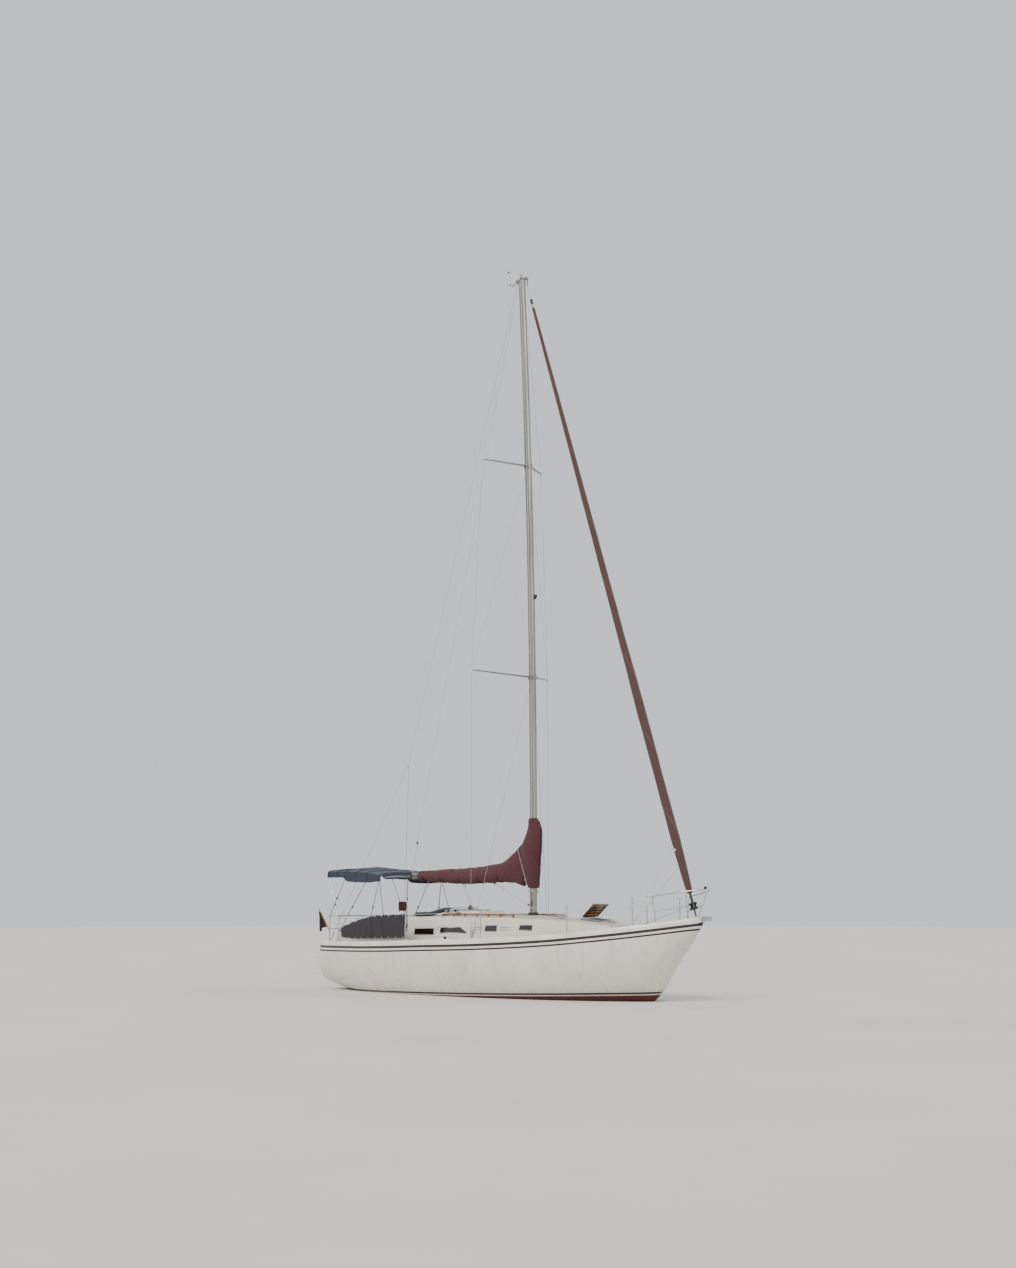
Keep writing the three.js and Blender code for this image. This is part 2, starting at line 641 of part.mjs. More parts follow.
const slider = box(
  SLIDING_HATCH.aft, SLIDING_HATCH.front, -SLIDING_HATCH.half, SLIDING_HATCH.half, SLIDING_HATCH.low,
  SLIDING_HATCH.low + SLIDING_HATCH.thick,
);
add("companionway_hatch", slider, "acrylic");
const board = box(
  COCKPIT.front + 8, COCKPIT.front + 28, -COMPANIONWAY.half + SEAT, COMPANIONWAY.half - SEAT,
  COMPANIONWAY.sill + SEAT, SLIDING_HATCH.low - 8,
);
add("washboard", board, "acrylic");

// Steering

const axleHigh = PEDESTAL.axle - COCKPIT.sole;
const column = join(
  lathe([[0, 0], [130, 0], [130, 20], [85, 60], [75, 700], [105, 860], [95, 920], [0, 920]], 16),
  rod(point(0, 0, axleHigh), point(PEDESTAL.axleEnd - PEDESTAL.x, 0, axleHigh), 12, 16),
);
add("steering_pedestal", column, "gelcoat", [PEDESTAL.x, 0, COCKPIT.sole + SEAT]);
const rim = new THREE.TorusGeometry(WHEEL.radius, WHEEL.rim, 8, 32).rotateY(Math.PI / 2);
const spokes = Array.from({ length: WHEEL.spokes }, (_, i) => {
  const angle = ((i + 0.5) / WHEEL.spokes) * 2 * Math.PI;
  return rod(point(0, 0, 0), point(0, WHEEL.radius * Math.sin(angle), WHEEL.radius * Math.cos(angle)), 7, 6);
});
const wheel = cut(
  join(toSolid(rim), rod(point(-22, 0, 0), point(22, 0, 0), WHEEL.hub, 16), ...spokes),
  rod(point(-60, 0, 0), point(60, 0, 0), 12 + PIN + 0.2, 16),
);
add("steering_wheel", wheel, "stainless", [WHEEL.x, 0, PEDESTAL.axle + SEAT]);

// Winches on the coamings and on the coachroof

const winchProfile = [
  [0, 0], [78, 0], [78, 12], [62, 28], [50, 60], [52, 105], [64, 122], [64, 142], [30, 150], [0, 150],
];
const winch = (scale) => lathe(winchProfile.map(([r, z]) => [r * scale, z * scale]), 16);
const ROOF_WINCH = { x: -1250, y: 620, z: 1712, scale: 0.78 };
const smallWinch = join(winch(ROOF_WINCH.scale), box(-50, 50, -50, 50, -28, 4));
SIDES.forEach((side) => {
  const name = SIDE_NAME[side];
  add(`primary_winch_${name}`, winch(1), "stainless", [-2650, side * 1030, COCKPIT.coamingTop + SEAT]);
  const onRoof = cut(placed(smallWinch, [ROOF_WINCH.x, side * ROOF_WINCH.y, ROOF_WINCH.z]), deckRaised);
  add(`roof_winch_${name}`, onRoof, "stainless");
});

// Grab rails: a bar on feet along each side of the coachroof
const railPoint = (x, rise) => point(x, between(ROOF, x).top * 0.86, between(ROOF, x).edge + rise);
const railFeet = Array.from({ length: 7 }, (_, i) => -1050 + i * 346);
const grabBar = polyRod(railFeet.map((x) => railPoint(x, 66)), 15, 8);
const grabFeet = railFeet.map((x) => {
  const low = railPoint(x, -14);
  return box(x - 32, x + 32, low.y - 12, low.y + 12, low.z, low.z + 78);
});
const grabRail = join(grabBar, ...grabFeet);
SIDES.forEach((side) => {
  add(`grab_rail_${SIDE_NAME[side]}`, cut(onSide(grabRail, side), deckRaised), "teak");
});

// Mast, masthead and spreaders

function mastX(z) {
  const share = (z - MAST.z) / (MAST.top - MAST.z);
  return MAST.x + (MAST.topX - MAST.x) * share + 4 * MAST.bow * share * (1 - share);
}

function mastSolid(grow) {
  const levels = [MAST.z - 8 - grow, 2150, 4200, 6904, 9300, 11741, 14000, MAST.top + grow];
  return loft(levels.map((z) => Array.from({ length: 12 }, (_, i) => {
    const angle = (i / 12) * 2 * Math.PI;
    return point(mastX(z) + (MAST.chord + grow) * Math.cos(angle), (MAST.half + grow) * Math.sin(angle), z);
  })));
}

const boomAxisTilt = Math.atan2(GOOSENECK.topX - GOOSENECK.x, GOOSENECK.topZ - GOOSENECK.z);
const gooseneckPlace = [GOOSENECK.x, 0, GOOSENECK.z];
const gooseneckTurn = [0, boomAxisTilt, 0];
const gooseneck = join(
  box(-12, 70, -22, 22, 60, 72),
  box(-12, 70, -22, 22, -72, -60),
  rod(point(0, 0, -72), point(0, 0, 72), 8, 16),
);
const mast = cut(join(mastSolid(0), placed(gooseneck, gooseneckPlace, gooseneckTurn)), deckRaised);
const mastKeepOff = mastSolid(SEAT);
add("mast", mast, "alloy");

const crane = join(
  box(350, 720, -30, 30, MAST.top + SEAT, 16255),
  box(690, 715, -8, 8, FORESTAY.high[1] + SEAT + 1.6, 16210),
  box(358, 388, -8, 8, BACKSTAY.high[1] + SEAT + 1.4, 16210),
  rod(point(510, 0, 16250), point(510, 0, 16360), 38, 12),
  polyRod([point(360, 0, 16240), point(215, 0, 16150), point(170, 0, 16520)], 6, 6),
);
add("masthead_crane", crane, "alloy");

// Corners of a spreader's section: share of its chord, share of its thickness
const SPREADER_SECTION = [[-0.5, 0], [-0.25, 0.5], [0.25, 0.5], [0.5, 0], [0.25, -0.5], [-0.25, -0.5]];
SPREADERS.forEach(({ name, z, reach, sweep, lift, chord }) => {
  const rootX = mastX(z);
  const section = (x, y, height, c, t) => SPREADER_SECTION
    .map(([along, up]) => point(x + along * c, y, height + up * t));
  const end = reach - WIRE - 3.5;
  const arm = cut(
    loft([section(rootX, 25, z, chord, 36), section(rootX - sweep, end, z + lift, chord * 0.55, 22)]),
    mastKeepOff,
  );
  SIDES.forEach((side) => add(`${name}_spreader_${SIDE_NAME[side]}`, onSide(arm, side), "alloy"));
});

// Standing rigging

const tips = SPREADERS.map(({ z, reach, sweep, lift }) => point(mastX(z) - sweep, reach, z + lift));
const foot = point(CHAINPLATE.x, CHAINPLATE.y, CHAINPLATE.z);
const head = point(mastX(16150), MAST.half - 10, 16150);
const shroud = (points) => cut(polyRod(points, WIRE, 6), mastKeepOff);
const capShroud = shroud([foot, tips[0], tips[1], head]);
const lowerShroud = shroud([
  foot.clone().add(point(0, -14, 0)), point(mastX(6850), MAST.half - 12, 6850),
]);
const middleShroud = shroud([
  tips[0].clone().add(point(0, -11, 12)), point(mastX(11680), MAST.half - 12, 11680),
]);
SIDES.forEach((side) => {
  const name = SIDE_NAME[side];
  add(`cap_shroud_${name}`, onSide(capShroud, side), "stainless");
  add(`lower_shroud_${name}`, onSide(lowerShroud, side), "stainless");
  add(`middle_shroud_${name}`, onSide(middleShroud, side), "stainless");
});

const split = point(BACKSTAY.split[0], 0, BACKSTAY.split[1]);
const backHead = point(BACKSTAY.high[0], 0, BACKSTAY.high[1]);
const backFoot = point(...BACKSTAY.foot);
const splitPlate = box(split.x - 30, split.x + 30, -28, 28, split.z - 20, split.z + 26);
const leg = rod(backFoot, split, WIRE, 6);
const backstay = join(rod(backHead, split, WIRE, 6), splitPlate, leg, onSide(leg, -1));
add("backstay", backstay, "stainless");

const stayLow = point(FORESTAY.low[0], 0, FORESTAY.low[1]);
const stayHigh = point(FORESTAY.high[0], 0, FORESTAY.high[1]);
const stayAt = (z) => stayLow.clone().lerp(stayHigh, (z - stayLow.z) / (stayHigh.z - stayLow.z));
const stay = rod(stayLow, stayHigh, FORESTAY.radius, 8);
add("forestay", stay, "stainless");

// Pieces that turn round the forestay are rings threaded on it
const stayDirection = stayHigh.clone().sub(stayLow).normalize();
const stayAcross = point(stayDirection.z, 0, -stayDirection.x);
function aroundStay(rows, sides) {
  const rings = rows.map(([z, radius]) => Array.from({ length: sides }, (_, i) => {
    const angle = (i / sides) * 2 * Math.PI;
    return stayAt(z)
      .add(stayAcross.clone().multiplyScalar(radius * Math.cos(angle)))
      .add(point(0, radius * Math.sin(angle), 0));
  }));
  return cut(loft(rings), rod(stayAt(1600), stayAt(16100), FORESTAY.radius + PIN, 8));
}

const jib = aroundStay([
  [2150, 50], [2200, 64], [3300, 96], [4500, 93], [5800, 97], [7200, 82], [9000, 74], [12000, 56],
  [15450, 34], [15470, 20], [15560, 20], [15562, 30], [15680, 30],
], 12);
add("furled_jib", jib, "navy");
const drum = aroundStay([
  [1690, 16], [1835, 16], [1836, 88], [1860, 88], [1862, 60], [1925, 60], [1927, 88], [1950, 88],
  [1952, 24], [2148, 24],
], 12);
add("furler_drum", drum, "rubber");

// Boom and the cover over the flaked mainsail

const boomZ = (x) => GOOSENECK.z + ((GOOSENECK.x - x) / (GOOSENECK.x - BOOM.end)) * (BOOM.endZ - GOOSENECK.z);
const boomRing = (x, grow) => {
  const [h, v] = [BOOM.half + grow, BOOM.high + grow];
  const corners = [[0, v], [h * 0.7, v * 0.85], [h, v * 0.3], [h * 0.9, -v * 0.6], [h * 0.4, -v]];
  const mirrored = [[-h * 0.4, -v], [-h * 0.9, -v * 0.6], [-h, v * 0.3], [-h * 0.7, v * 0.85]];
  return [...corners, ...mirrored].map(([y, z]) => point(x, y, boomZ(x) + z));
};
const boomTube = loft([boomRing(BOOM.front, 0), boomRing(BOOM.end, 0)]);
const tongue = cut(
  join(box(-60, 0, -16, 16, -50, 50), rod(point(0, 0, -59), point(0, 0, 59), 18, 16)),
  rod(point(0, 0, -80), point(0, 0, 80), 8 + PIN + 0.1, 16),
);
const boom = join(boomTube, placed(tongue, gooseneckPlace, gooseneckTurn));
add("boom", boom, "alloy");

// Cover sections along the boom: lower and upper edge, half breadth
const COVER = [
  { x: 430, low: 2380, high: 3230, half: 135 },
  { x: 290, low: 2418, high: 3090, half: 145 },
  { x: -180, low: 2443, high: 2850, half: 165 },
  { x: -1140, low: 2420, high: 2765, half: 160 },
  { x: -2000, low: 2455, high: 2745, half: 145 },
  { x: -2820, low: 2512, high: 2725, half: 100 },
];
const coverHalf = [[0, 1], [0.45, 0.88], [0.8, 0.62], [1, 0.34], [0.85, 0.1], [0.35, 0]];
const coverRing = ({ x, low, high, half }) => {
  const right = coverHalf.map(([y, z]) => point(x, y * half, low + z * (high - low)));
  const left = coverHalf.slice(1).reverse().map(([y, z]) => point(x, -y * half, low + z * (high - low)));
  return [...right, ...left];
};
const cover = cut(loft(COVER.map(coverRing)), loft([boomRing(700, SEAT), boomRing(-3200, SEAT)]));
add("sail_cover_boom", cover, "maroon");

// Collar of the cover round the mast: rows of height, aft and front edge, half breadth
const COLLAR = [
  { z: 2290, aft: 720, front: 1000, half: 100 },
  { z: 2700, aft: 530, front: 1025, half: 150 },
  { z: 3210, aft: 530, front: 1080, half: 150 },
  { z: 3370, aft: 610, front: 1095, half: 125 },
  { z: 3530, aft: 675, front: 1100, half: 102 },
  { z: 3810, aft: 738, front: 978, half: 88 },
];
const collar = cut(
  loft(COLLAR.map(({ z, aft, front, half }) => Array.from({ length: 14 }, (_, i) => {
    const angle = (i / 14) * 2 * Math.PI;
    const middle = mastX(z);
    const reach = Math.cos(angle) > 0 ? front - middle : middle - aft;
    return point(middle + reach * Math.cos(angle), half * Math.sin(angle), z);
  }))),
  mastKeepOff,
  box(300, 900, -300, 300, 2200, 2670),
);
add("sail_cover_mast", collar, "maroon");

// Rails round the deck edge: stanchions with their wires, pulpit and pushpit

const onDeck = (x, y, rise = 0) => point(x, y, between(STATIONS, x).sheer + DECK.thick + rise);
const posts = STANCHIONS.map(({ x, y }) => rod(
  onDeck(x, y, -12), onDeck(x, y, STANCHION_HIGH), DECK_TUBE, RAIL_SIDES,
));
const WIRE_ENDS = { aft: { x: -3960, y: 1448 }, front: { x: 4650, y: 590 } };
const wireRun = (rise) => polyRod(
  [WIRE_ENDS.aft, ...STANCHIONS, WIRE_ENDS.front].map(({ x, y }) => onDeck(x, y, rise)), LIFELINE, 6,
);
const lifelines = join(...posts, wireRun(STANCHION_HIGH - 12), wireRun(300));
SIDES.forEach((side) => {
  add(`lifelines_${SIDE_NAME[side]}`, cut(onSide(lifelines, side), deckRaised), "stainless");
});

const clothLine = [WIRE_ENDS.aft, ...STANCHIONS];
const clothFall = (x) => {
  const share = Math.max(0, (CLOTH_FALL.from - x) / (CLOTH_FALL.from - CLOTH.aft));
  return CLOTH_FALL.drop * share ** CLOTH_FALL.power;
};
const cloth = loft([CLOTH.aft, -3600, -3300, -3010, -2650, CLOTH_FALL.from, CLOTH.front].map((x) => {
  const { y } = between(clothLine, x);
  const inner = y + DECK_TUBE + SEAT;
  const outer = inner + CLOTH.thick;
  const { sheer } = between(STATIONS, x);
  const [low, high] = [sheer + CLOTH.low, sheer + CLOTH.high - clothFall(x)];
  return [point(x, inner, low), point(x, outer, low), point(x, outer, high), point(x, inner, high)];
}));
SIDES.forEach((side) => add(`weather_cloth_${SIDE_NAME[side]}`, onSide(cloth, side), "navy"));

const PULPIT_TOP = [
  point(4690, 590, 2080), point(5000, 500, 2130), point(5350, 340, 2180), point(5590, 150, 2205),
];
const mirroredPath = (points) => [
  ...points,
  ...[...points].reverse().map((p) => point(p.x, -p.y, p.z)),
];
const pulpitLegs = SIDES.flatMap((side) => [
  polyRod([point(4690, side * 590, 2080), point(4700, side * 470, 1490)], DECK_TUBE, RAIL_SIDES),
  polyRod([point(5350, side * 340, 2180), point(5240, side * 130, 1568)], DECK_TUBE, RAIL_SIDES),
  polyRod([point(4695, side * 531, 1790), point(5300, side * 245, 1900)], DECK_TUBE, RAIL_SIDES),
]);
const pulpitRail = tube(mirroredPath(PULPIT_TOP), DECK_TUBE, 16, RAIL_SIDES);
const pulpit = cut(join(pulpitRail, ...pulpitLegs), deckRaised);
add("pulpit", pulpit, "stainless");

const PUSHPIT = [
  { x: -4020, y: 1420 },
  { x: -4400, y: 1340 },
  { x: -4620, y: 1200 },
  { x: -4670, y: 900 },
  { x: -4680, y: 300 },
];
const railAt = (z) => mirroredPath(PUSHPIT.map(({ x, y }) => point(x, y, z)));
const pushpitLegs = SIDES.flatMap((side) => [0, 2, 4].map((i) => {
  const { x, y } = PUSHPIT[i];
  return rod(point(x, side * y, PUSHPIT_TOP.foot), point(x, side * y, PUSHPIT_TOP.z), DECK_TUBE, RAIL_SIDES);
}));
const pushpit = cut(
  join(
    tube(railAt(PUSHPIT_TOP.z), DECK_TUBE, PUSHPIT_TOP.segments, RAIL_SIDES),
    tube(railAt(PUSHPIT_TOP.lowerRail), PUSHPIT_TOP.lowerTube, PUSHPIT_TOP.segments, RAIL_SIDES),
    ...pushpitLegs,
  ),
  deckRaised,
);
add("pushpit", pushpit, "stainless");

// Stem fitting: plate, cheeks and roller
const bowPlateZ = between(STATIONS, 5490).sheer + DECK.thick + 10;
const stemFitting = cut(
  join(
    box(5300, 5560, -34, 34, bowPlateZ - 40, bowPlateZ + 8),
    box(5480, 5690, 24, 30, bowPlateZ - 30, bowPlateZ + 62),
    box(5480, 5690, -30, -24, bowPlateZ - 30, bowPlateZ + 62),
    rod(point(5650, -26, bowPlateZ), point(5650, 26, bowPlateZ), 28, 12),
    box(5322, 5358, -7, 7, bowPlateZ, FORESTAY.low[1] - 4),
  ),
  deckRaised,
  placed(hullSkin, [0.3, 0, 0]),
);
add("stem_fitting", stemFitting, "stainless");

// Ensign staff on the starboard quarter
const staffFoot = point(-4637, -1211.4, 1378);
const staffHead = point(-4850, -1330, 1830);
add("ensign_staff", rod(staffFoot, staffHead, 9, 8), "teak");

// Bimini: a cloth canopy with slots for the backstay legs, on hoops
const canopyHalf = ({ x, skirt, shoulder, crown, corner }, drop) => [
  point(x + corner, CANOPY.half - drop, skirt),
  point(x + corner, CANOPY.shoulder - drop, shoulder - drop),
  point(x + corner * CANOPY.cornerShare, CANOPY.flank, crown - (crown - shoulder) * CANOPY.flankFall - drop),
  point(x, 0, crown - drop),
];
const mirroredHalf = (half) => [...half, ...half.slice(0, 3).reverse().map((p) => point(p.x, -p.y, p.z))];
// The inner shape reaches below the skirt and past both ends, so that only the skin is left
const canopyShape = (drop, lower, past) => loft(CANOPY_ROWS.map((row, i) => {
  const out = { 0: -past, [CANOPY_ROWS.length - 1]: past }[i] ?? 0;
  const half = canopyHalf({ ...row, x: row.x + out }, drop);
  return mirroredHalf(half.map((p, k) => point(p.x, p.y, k === 0 ? p.z - lower : p.z)));
}));
const canopySkin = cut(canopyShape(0, 0, 0), canopyShape(CANOPY.skin, 20, 30));
const legSlot = rod(backFoot, split, 35, 8);
const canopy = cut(canopySkin, legSlot, onSide(legSlot, -1));
add("bimini_canopy", canopy, "navy");

// A hoop lies against the cloth; its ends lean to their feet or to clamps on the pushpit's rail.
// Spreader bars under the cloth's flanks tie the hoops together.
const pushpitCorner = point(PUSHPIT[2].x, PUSHPIT[2].y, PUSHPIT_TOP.z);
const footAt = (x, above) => point(x, HOOP_FEET.y, COCKPIT.coamingTop + above);
const hoopEnd = ({ foot, onPushpit }) => (onPushpit ? pushpitCorner : footAt(foot, HOOP_FEET.seat));
const mirror = (p) => point(p.x, -p.y, p.z);
const hoopHalves = HOOPS.map(({ x }) => {
  const half = canopyHalf({ ...between(CANOPY_ROWS, x), x }, CANOPY.skin + DECK_TUBE - HOOP_SEAT.overlap);
  return half.map((p, i) => point(
    p.x,
    i < 2 ? p.y - HOOP_SEAT.inward : p.y,
    i === 0 ? p.z + HOOP_SEAT.aboveSkirt : p.z,
  ));
});
const hoops = HOOPS.map((hoop, i) => polyRod(
  [hoopEnd(hoop), ...mirroredHalf(hoopHalves[i]), mirror(hoopEnd(hoop))], DECK_TUBE, RAIL_SIDES,
));
const spreaderBar = polyRod(hoopHalves.map((half) => half[2]), SPREADER_BAR, RAIL_SIDES);
const hoopFeet = [HOOP_FEET.aft, HOOP_FEET.front].flatMap((x) => {
  const socket = rod(footAt(x, SEAT), footAt(x, HOOP_FEET.high), HOOP_FEET.socket, 12);
  return [socket, onSide(socket, -1)];
});
const clampReach = point(PUSHPIT[3].x - PUSHPIT[1].x, PUSHPIT[3].y - PUSHPIT[1].y, 0);
clampReach.setLength(RAIL_CLAMP.half);
const clamp = rod(
  pushpitCorner.clone().sub(clampReach), pushpitCorner.clone().add(clampReach), HOOP_FEET.socket, 12,
);
const belowRail = point(pushpitCorner.x, pushpitCorner.y, RAIL_CLAMP.way);
const legWay = rod(belowRail, pushpitCorner, DECK_TUBE + SEAT, RAIL_SIDES);
const biminiFrame = cut(
  join(...hoops, ...hoopFeet, clamp, onSide(clamp, -1), spreaderBar, onSide(spreaderBar, -1)),
  placed(canopy, [0, 0, -SEAT]),
  tube(railAt(PUSHPIT_TOP.z), DECK_TUBE + SEAT, PUSHPIT_TOP.segments, RAIL_SIDES),
  legWay,
  onSide(legWay, -1),
);
add("bimini_frame", biminiFrame, "stainless");

// Folded sprayhood: a soft roll across the coachroof, with its arms run aft along both edges
const hoodZ = (x, y) => {
  const { top, edge, crown } = between(ROOF, x);
  return edge + crown * (1 - (y / top) ** 2) + 48;
};
const HOOD = [[-1960, 930], [-1700, 925], [-1520, 820], [-1440, 520], [-1420, 390]];
const hoodPath = mirroredPath(HOOD.map(([x, y]) => point(x, y, hoodZ(x, y) + (y < 600 ? 62 : 0))));
const hood = cut(tube(hoodPath, 52, 24, 10), deckRaised);
add("folded_sprayhood", hood, "navy");

export default yacht;
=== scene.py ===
"""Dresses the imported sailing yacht: smooth hull, canvas, rig, deck gear and their finishes."""

import math

import bmesh
import bpy
from mathutils import Matrix, Vector, noise


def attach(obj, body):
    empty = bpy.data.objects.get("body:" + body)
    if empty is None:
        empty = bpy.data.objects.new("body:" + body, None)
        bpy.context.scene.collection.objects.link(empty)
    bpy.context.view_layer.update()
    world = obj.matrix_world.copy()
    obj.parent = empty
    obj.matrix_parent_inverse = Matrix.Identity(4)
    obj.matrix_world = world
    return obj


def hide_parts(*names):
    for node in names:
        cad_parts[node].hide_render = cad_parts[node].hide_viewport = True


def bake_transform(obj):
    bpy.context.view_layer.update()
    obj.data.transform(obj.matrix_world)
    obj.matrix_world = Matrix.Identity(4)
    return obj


bl_info = {
    "name": "Sailing yacht dressing",
    "version": (1, 0, 0),
    "blender": (4, 5, 0),
    "location": "3D View > Sidebar > Yacht",
    "description": "Builds the visible pieces of a masthead sloop around its packed frame",
    "category": "Object",
}

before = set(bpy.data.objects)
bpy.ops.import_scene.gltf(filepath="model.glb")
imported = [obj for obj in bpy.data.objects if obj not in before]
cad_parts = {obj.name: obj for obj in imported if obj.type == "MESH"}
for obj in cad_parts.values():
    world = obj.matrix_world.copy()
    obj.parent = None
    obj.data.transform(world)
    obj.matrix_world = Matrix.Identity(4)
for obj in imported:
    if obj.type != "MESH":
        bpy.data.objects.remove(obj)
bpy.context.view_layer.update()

# Sizes shared with the solids, in metres

STATIONS = [  # x, half breadth, sheer, keel line, fullness
    (5.49, 0.025, 1.581, 1.545, 1.0),
    (5.25, 0.230, 1.545, 1.262, 1.25),
    (4.90, 0.445, 1.493, 0.838, 1.45),
    (4.50, 0.700, 1.436, 0.360, 1.6),
    (4.15, 0.905, 1.390, -0.030, 1.5),
    (3.50, 1.195, 1.318, -0.235, 1.2),
    (2.60, 1.470, 1.236, -0.370, 0.9),
    (1.50, 1.680, 1.170, -0.440, 0.7),
    (0.30, 1.765, 1.122, -0.460, 0.62),
    (-0.90, 1.780, 1.090, -0.440, 0.58),
    (-2.10, 1.735, 1.055, -0.360, 0.55),
    (-3.20, 1.630, 1.035, -0.235, 0.52),
    (-4.20, 1.460, 1.030, -0.055, 0.5),
    (-5.10, 1.270, 1.035, 0.115, 0.48),
]
ROOF = [  # x, base, top, edge height, crown
    (-2.0, 1.170, 1.030, 1.665, 0.065),
    (-0.6, 1.200, 1.050, 1.668, 0.062),
    (0.848, 1.130, 0.960, 1.655, 0.058),
    (2.0, 0.960, 0.770, 1.612, 0.050),
    (2.9, 0.745, 0.560, 1.548, 0.040),
    (3.5, 0.560, 0.400, 1.478, 0.030),
    (3.9, 0.410, 0.300, 1.425, 0.018),
]
WINDOWS = [  # aft, front, low, high, how far the front's top leans aft
    (-1.74, -1.10, 1.300, 1.410, 0.03),
    (-0.89, -0.065, 1.340, 1.440, 0.24),
    (0.45, 0.78, 1.385, 1.485, 0.02),
    (1.36, 1.69, 1.405, 1.490, 0.02),
]
DECK_THICK = 0.0403
DECK_CAMBER = 0.060
WIDEST = 1.780
MAST = {"x": 0.848, "low": 1.705, "top": 16.205, "top_x": 0.527, "bow": 0.112, "chord": 0.095, "half": 0.060}
SPREADERS = [  # name, height, reach, sweep, lift, chord
    ("lower", 6.904, 1.212, 0.689, 0.120, 0.125),
    ("upper", 11.741, 0.949, 0.512, 0.092, 0.105),
]
CHAINPLATE = (0.15, 1.205, 1.25)
GOOSENECK = (0.712, 2.5)
BOOM = {"front": 0.66, "end": -3.10, "end_z": 2.61, "half": 0.050, "high": 0.075}
FORESTAY = ((5.34, 1.665), (0.702, 16.04))
BACKSTAY = {"head": (0.372, 16.148), "split": (-3.27, 5.17), "foot": (-4.644, 1.136, 1.141)}
JIB = [  # height, radius
    (2.15, 0.050), (2.20, 0.064), (3.3, 0.096), (4.5, 0.093), (5.8, 0.097), (7.2, 0.082),
    (9.0, 0.074), (12.0, 0.056), (15.45, 0.034),
]
COVER = [  # x, lower edge, upper edge, half breadth
    (0.60, 2.330, 3.340, 0.100),
    (0.52, 2.352, 3.270, 0.120),
    (0.43, 2.380, 3.195, 0.135),
    (0.29, 2.418, 3.085, 0.145),
    (-0.18, 2.443, 2.850, 0.165),
    (-1.14, 2.420, 2.765, 0.160),
    (-2.00, 2.455, 2.745, 0.145),
    (-2.82, 2.512, 2.725, 0.100),
]
COLLAR = [  # height, aft, front, half breadth
    (2.29, 0.720, 1.000, 0.100),
    (2.70, 0.530, 1.025, 0.150),
    (3.21, 0.530, 1.080, 0.150),
    (3.37, 0.610, 1.095, 0.125),
    (3.53, 0.675, 1.100, 0.102),
    (3.81, 0.738, 0.978, 0.088),
]
CANOPY = [  # x, the skirt's lower edge, shoulder, crown, how far forward the corners stand
    (-4.98, 2.585, 2.715, 2.800, 0.0),
    (-4.42, 2.570, 2.710, 2.822, 0.0),
    (-4.23, 2.475, 2.705, 2.825, 0.0),
    (-3.55, 2.450, 2.665, 2.755, 0.0),
    (-3.22, 2.470, 2.600, 2.690, 0.150),
]
HOOPS = [  # where a hoop crosses the centreline, its foot's x, y and height
    (-4.93, (-4.38, 1.08, 1.372)),
    (-4.33, (-4.62, 1.20, 1.692)),
    (-3.56, (-4.38, 1.08, 1.372)),
    (-3.27, (-3.39, 1.08, 1.372)),
]
STANCHIONS = [(-3.01, 1.57), (-1.41, 1.69), (0.90, 1.65), (3.0, 1.255), (4.31, 0.745)]
WIRE_ENDS = [(-3.96, 1.448), (4.65, 0.590)]
STANCHION_HIGH = 0.610
PULPIT = [(4.69, 0.590, 2.080), (5.0, 0.500, 2.130), (5.35, 0.340, 2.180), (5.59, 0.150, 2.205)]
PUSHPIT = [(-4.02, 1.42), (-4.40, 1.34), (-4.62, 1.20), (-4.67, 0.90), (-4.68, 0.30)]
COCKPIT = {"aft": -4.48, "front": -2.0, "half": 0.95, "seat": 0.93, "sole_aft": -4.30, "sole_half": 0.40,
           "sole": 0.48, "coaming": 1.33}
HOOD = [(-1.96, 0.93), (-1.70, 0.925), (-1.52, 0.82), (-1.44, 0.52), (-1.42, 0.39)]
FOREHATCH_HINGE = Vector((2.483933, 0, 1.670372))
FOREHATCH_TURN = math.radians(-44) + math.atan(0.074 / 0.9)
CAMERA = {"place": (26.593, -26.593, 1.777), "turn": (99.36, 0.0, 44.924), "lens": 47.884}


def linear(colour):
    """An sRGB hex colour as the linear colour that a shader reads."""
    parts = [int(colour[i : i + 2], 16) / 255 for i in (1, 3, 5)]
    return tuple(c / 12.92 if c <= 0.04045 else ((c + 0.055) / 1.055) ** 2.4 for c in parts)


def smooth_table(rows):
    """Reads a table by its first column, on curves that never overshoot the rows."""
    rows = sorted(rows)
    keys = [row[0] for row in rows]
    slopes = [
        [(b - a) / (rows[i + 1][0] - rows[i][0]) for a, b in zip(rows[i][1:], rows[i + 1][1:])]
        for i in range(len(rows) - 1)
    ]
    tangents = [slopes[0]]
    for before, after in zip(slopes, slopes[1:]):
        tangents.append([2 * a * b / (a + b) if a * b > 0 else 0.0 for a, b in zip(before, after)])
    tangents.append(slopes[-1])

    def read(x):
        x = min(max(x, keys[0]), keys[-1])
        i = max(j for j in range(len(rows) - 1) if keys[j] <= x)
        width = keys[i + 1] - keys[i]
        t = (x - keys[i]) / width
        values = []
        for column, (low, high) in enumerate(zip(rows[i][1:], rows[i + 1][1:])):
            m0, m1 = tangents[i][column] * width, tangents[i + 1][column] * width
            values.append(
                (2 * t**3 - 3 * t**2 + 1) * low + (t**3 - 2 * t**2 + t) * m0
                + (3 * t**2 - 2 * t**3) * high + (t**3 - t**2) * m1
            )
        return values

    return read


def straight_table(rows):
    """Reads a table by its first column, on straight lines as the solids do."""
    rows = sorted(rows)

    def read(x):
        x = min(max(x, rows[0][0]), rows[-1][0])
        i = max(j for j in range(len(rows) - 1) if rows[j][0] <= x)
        t = (x - rows[i][0]) / (rows[i + 1][0] - rows[i][0])
        return [a + (b - a) * t for a, b in zip(rows[i][1:], rows[i + 1][1:])]

    return read


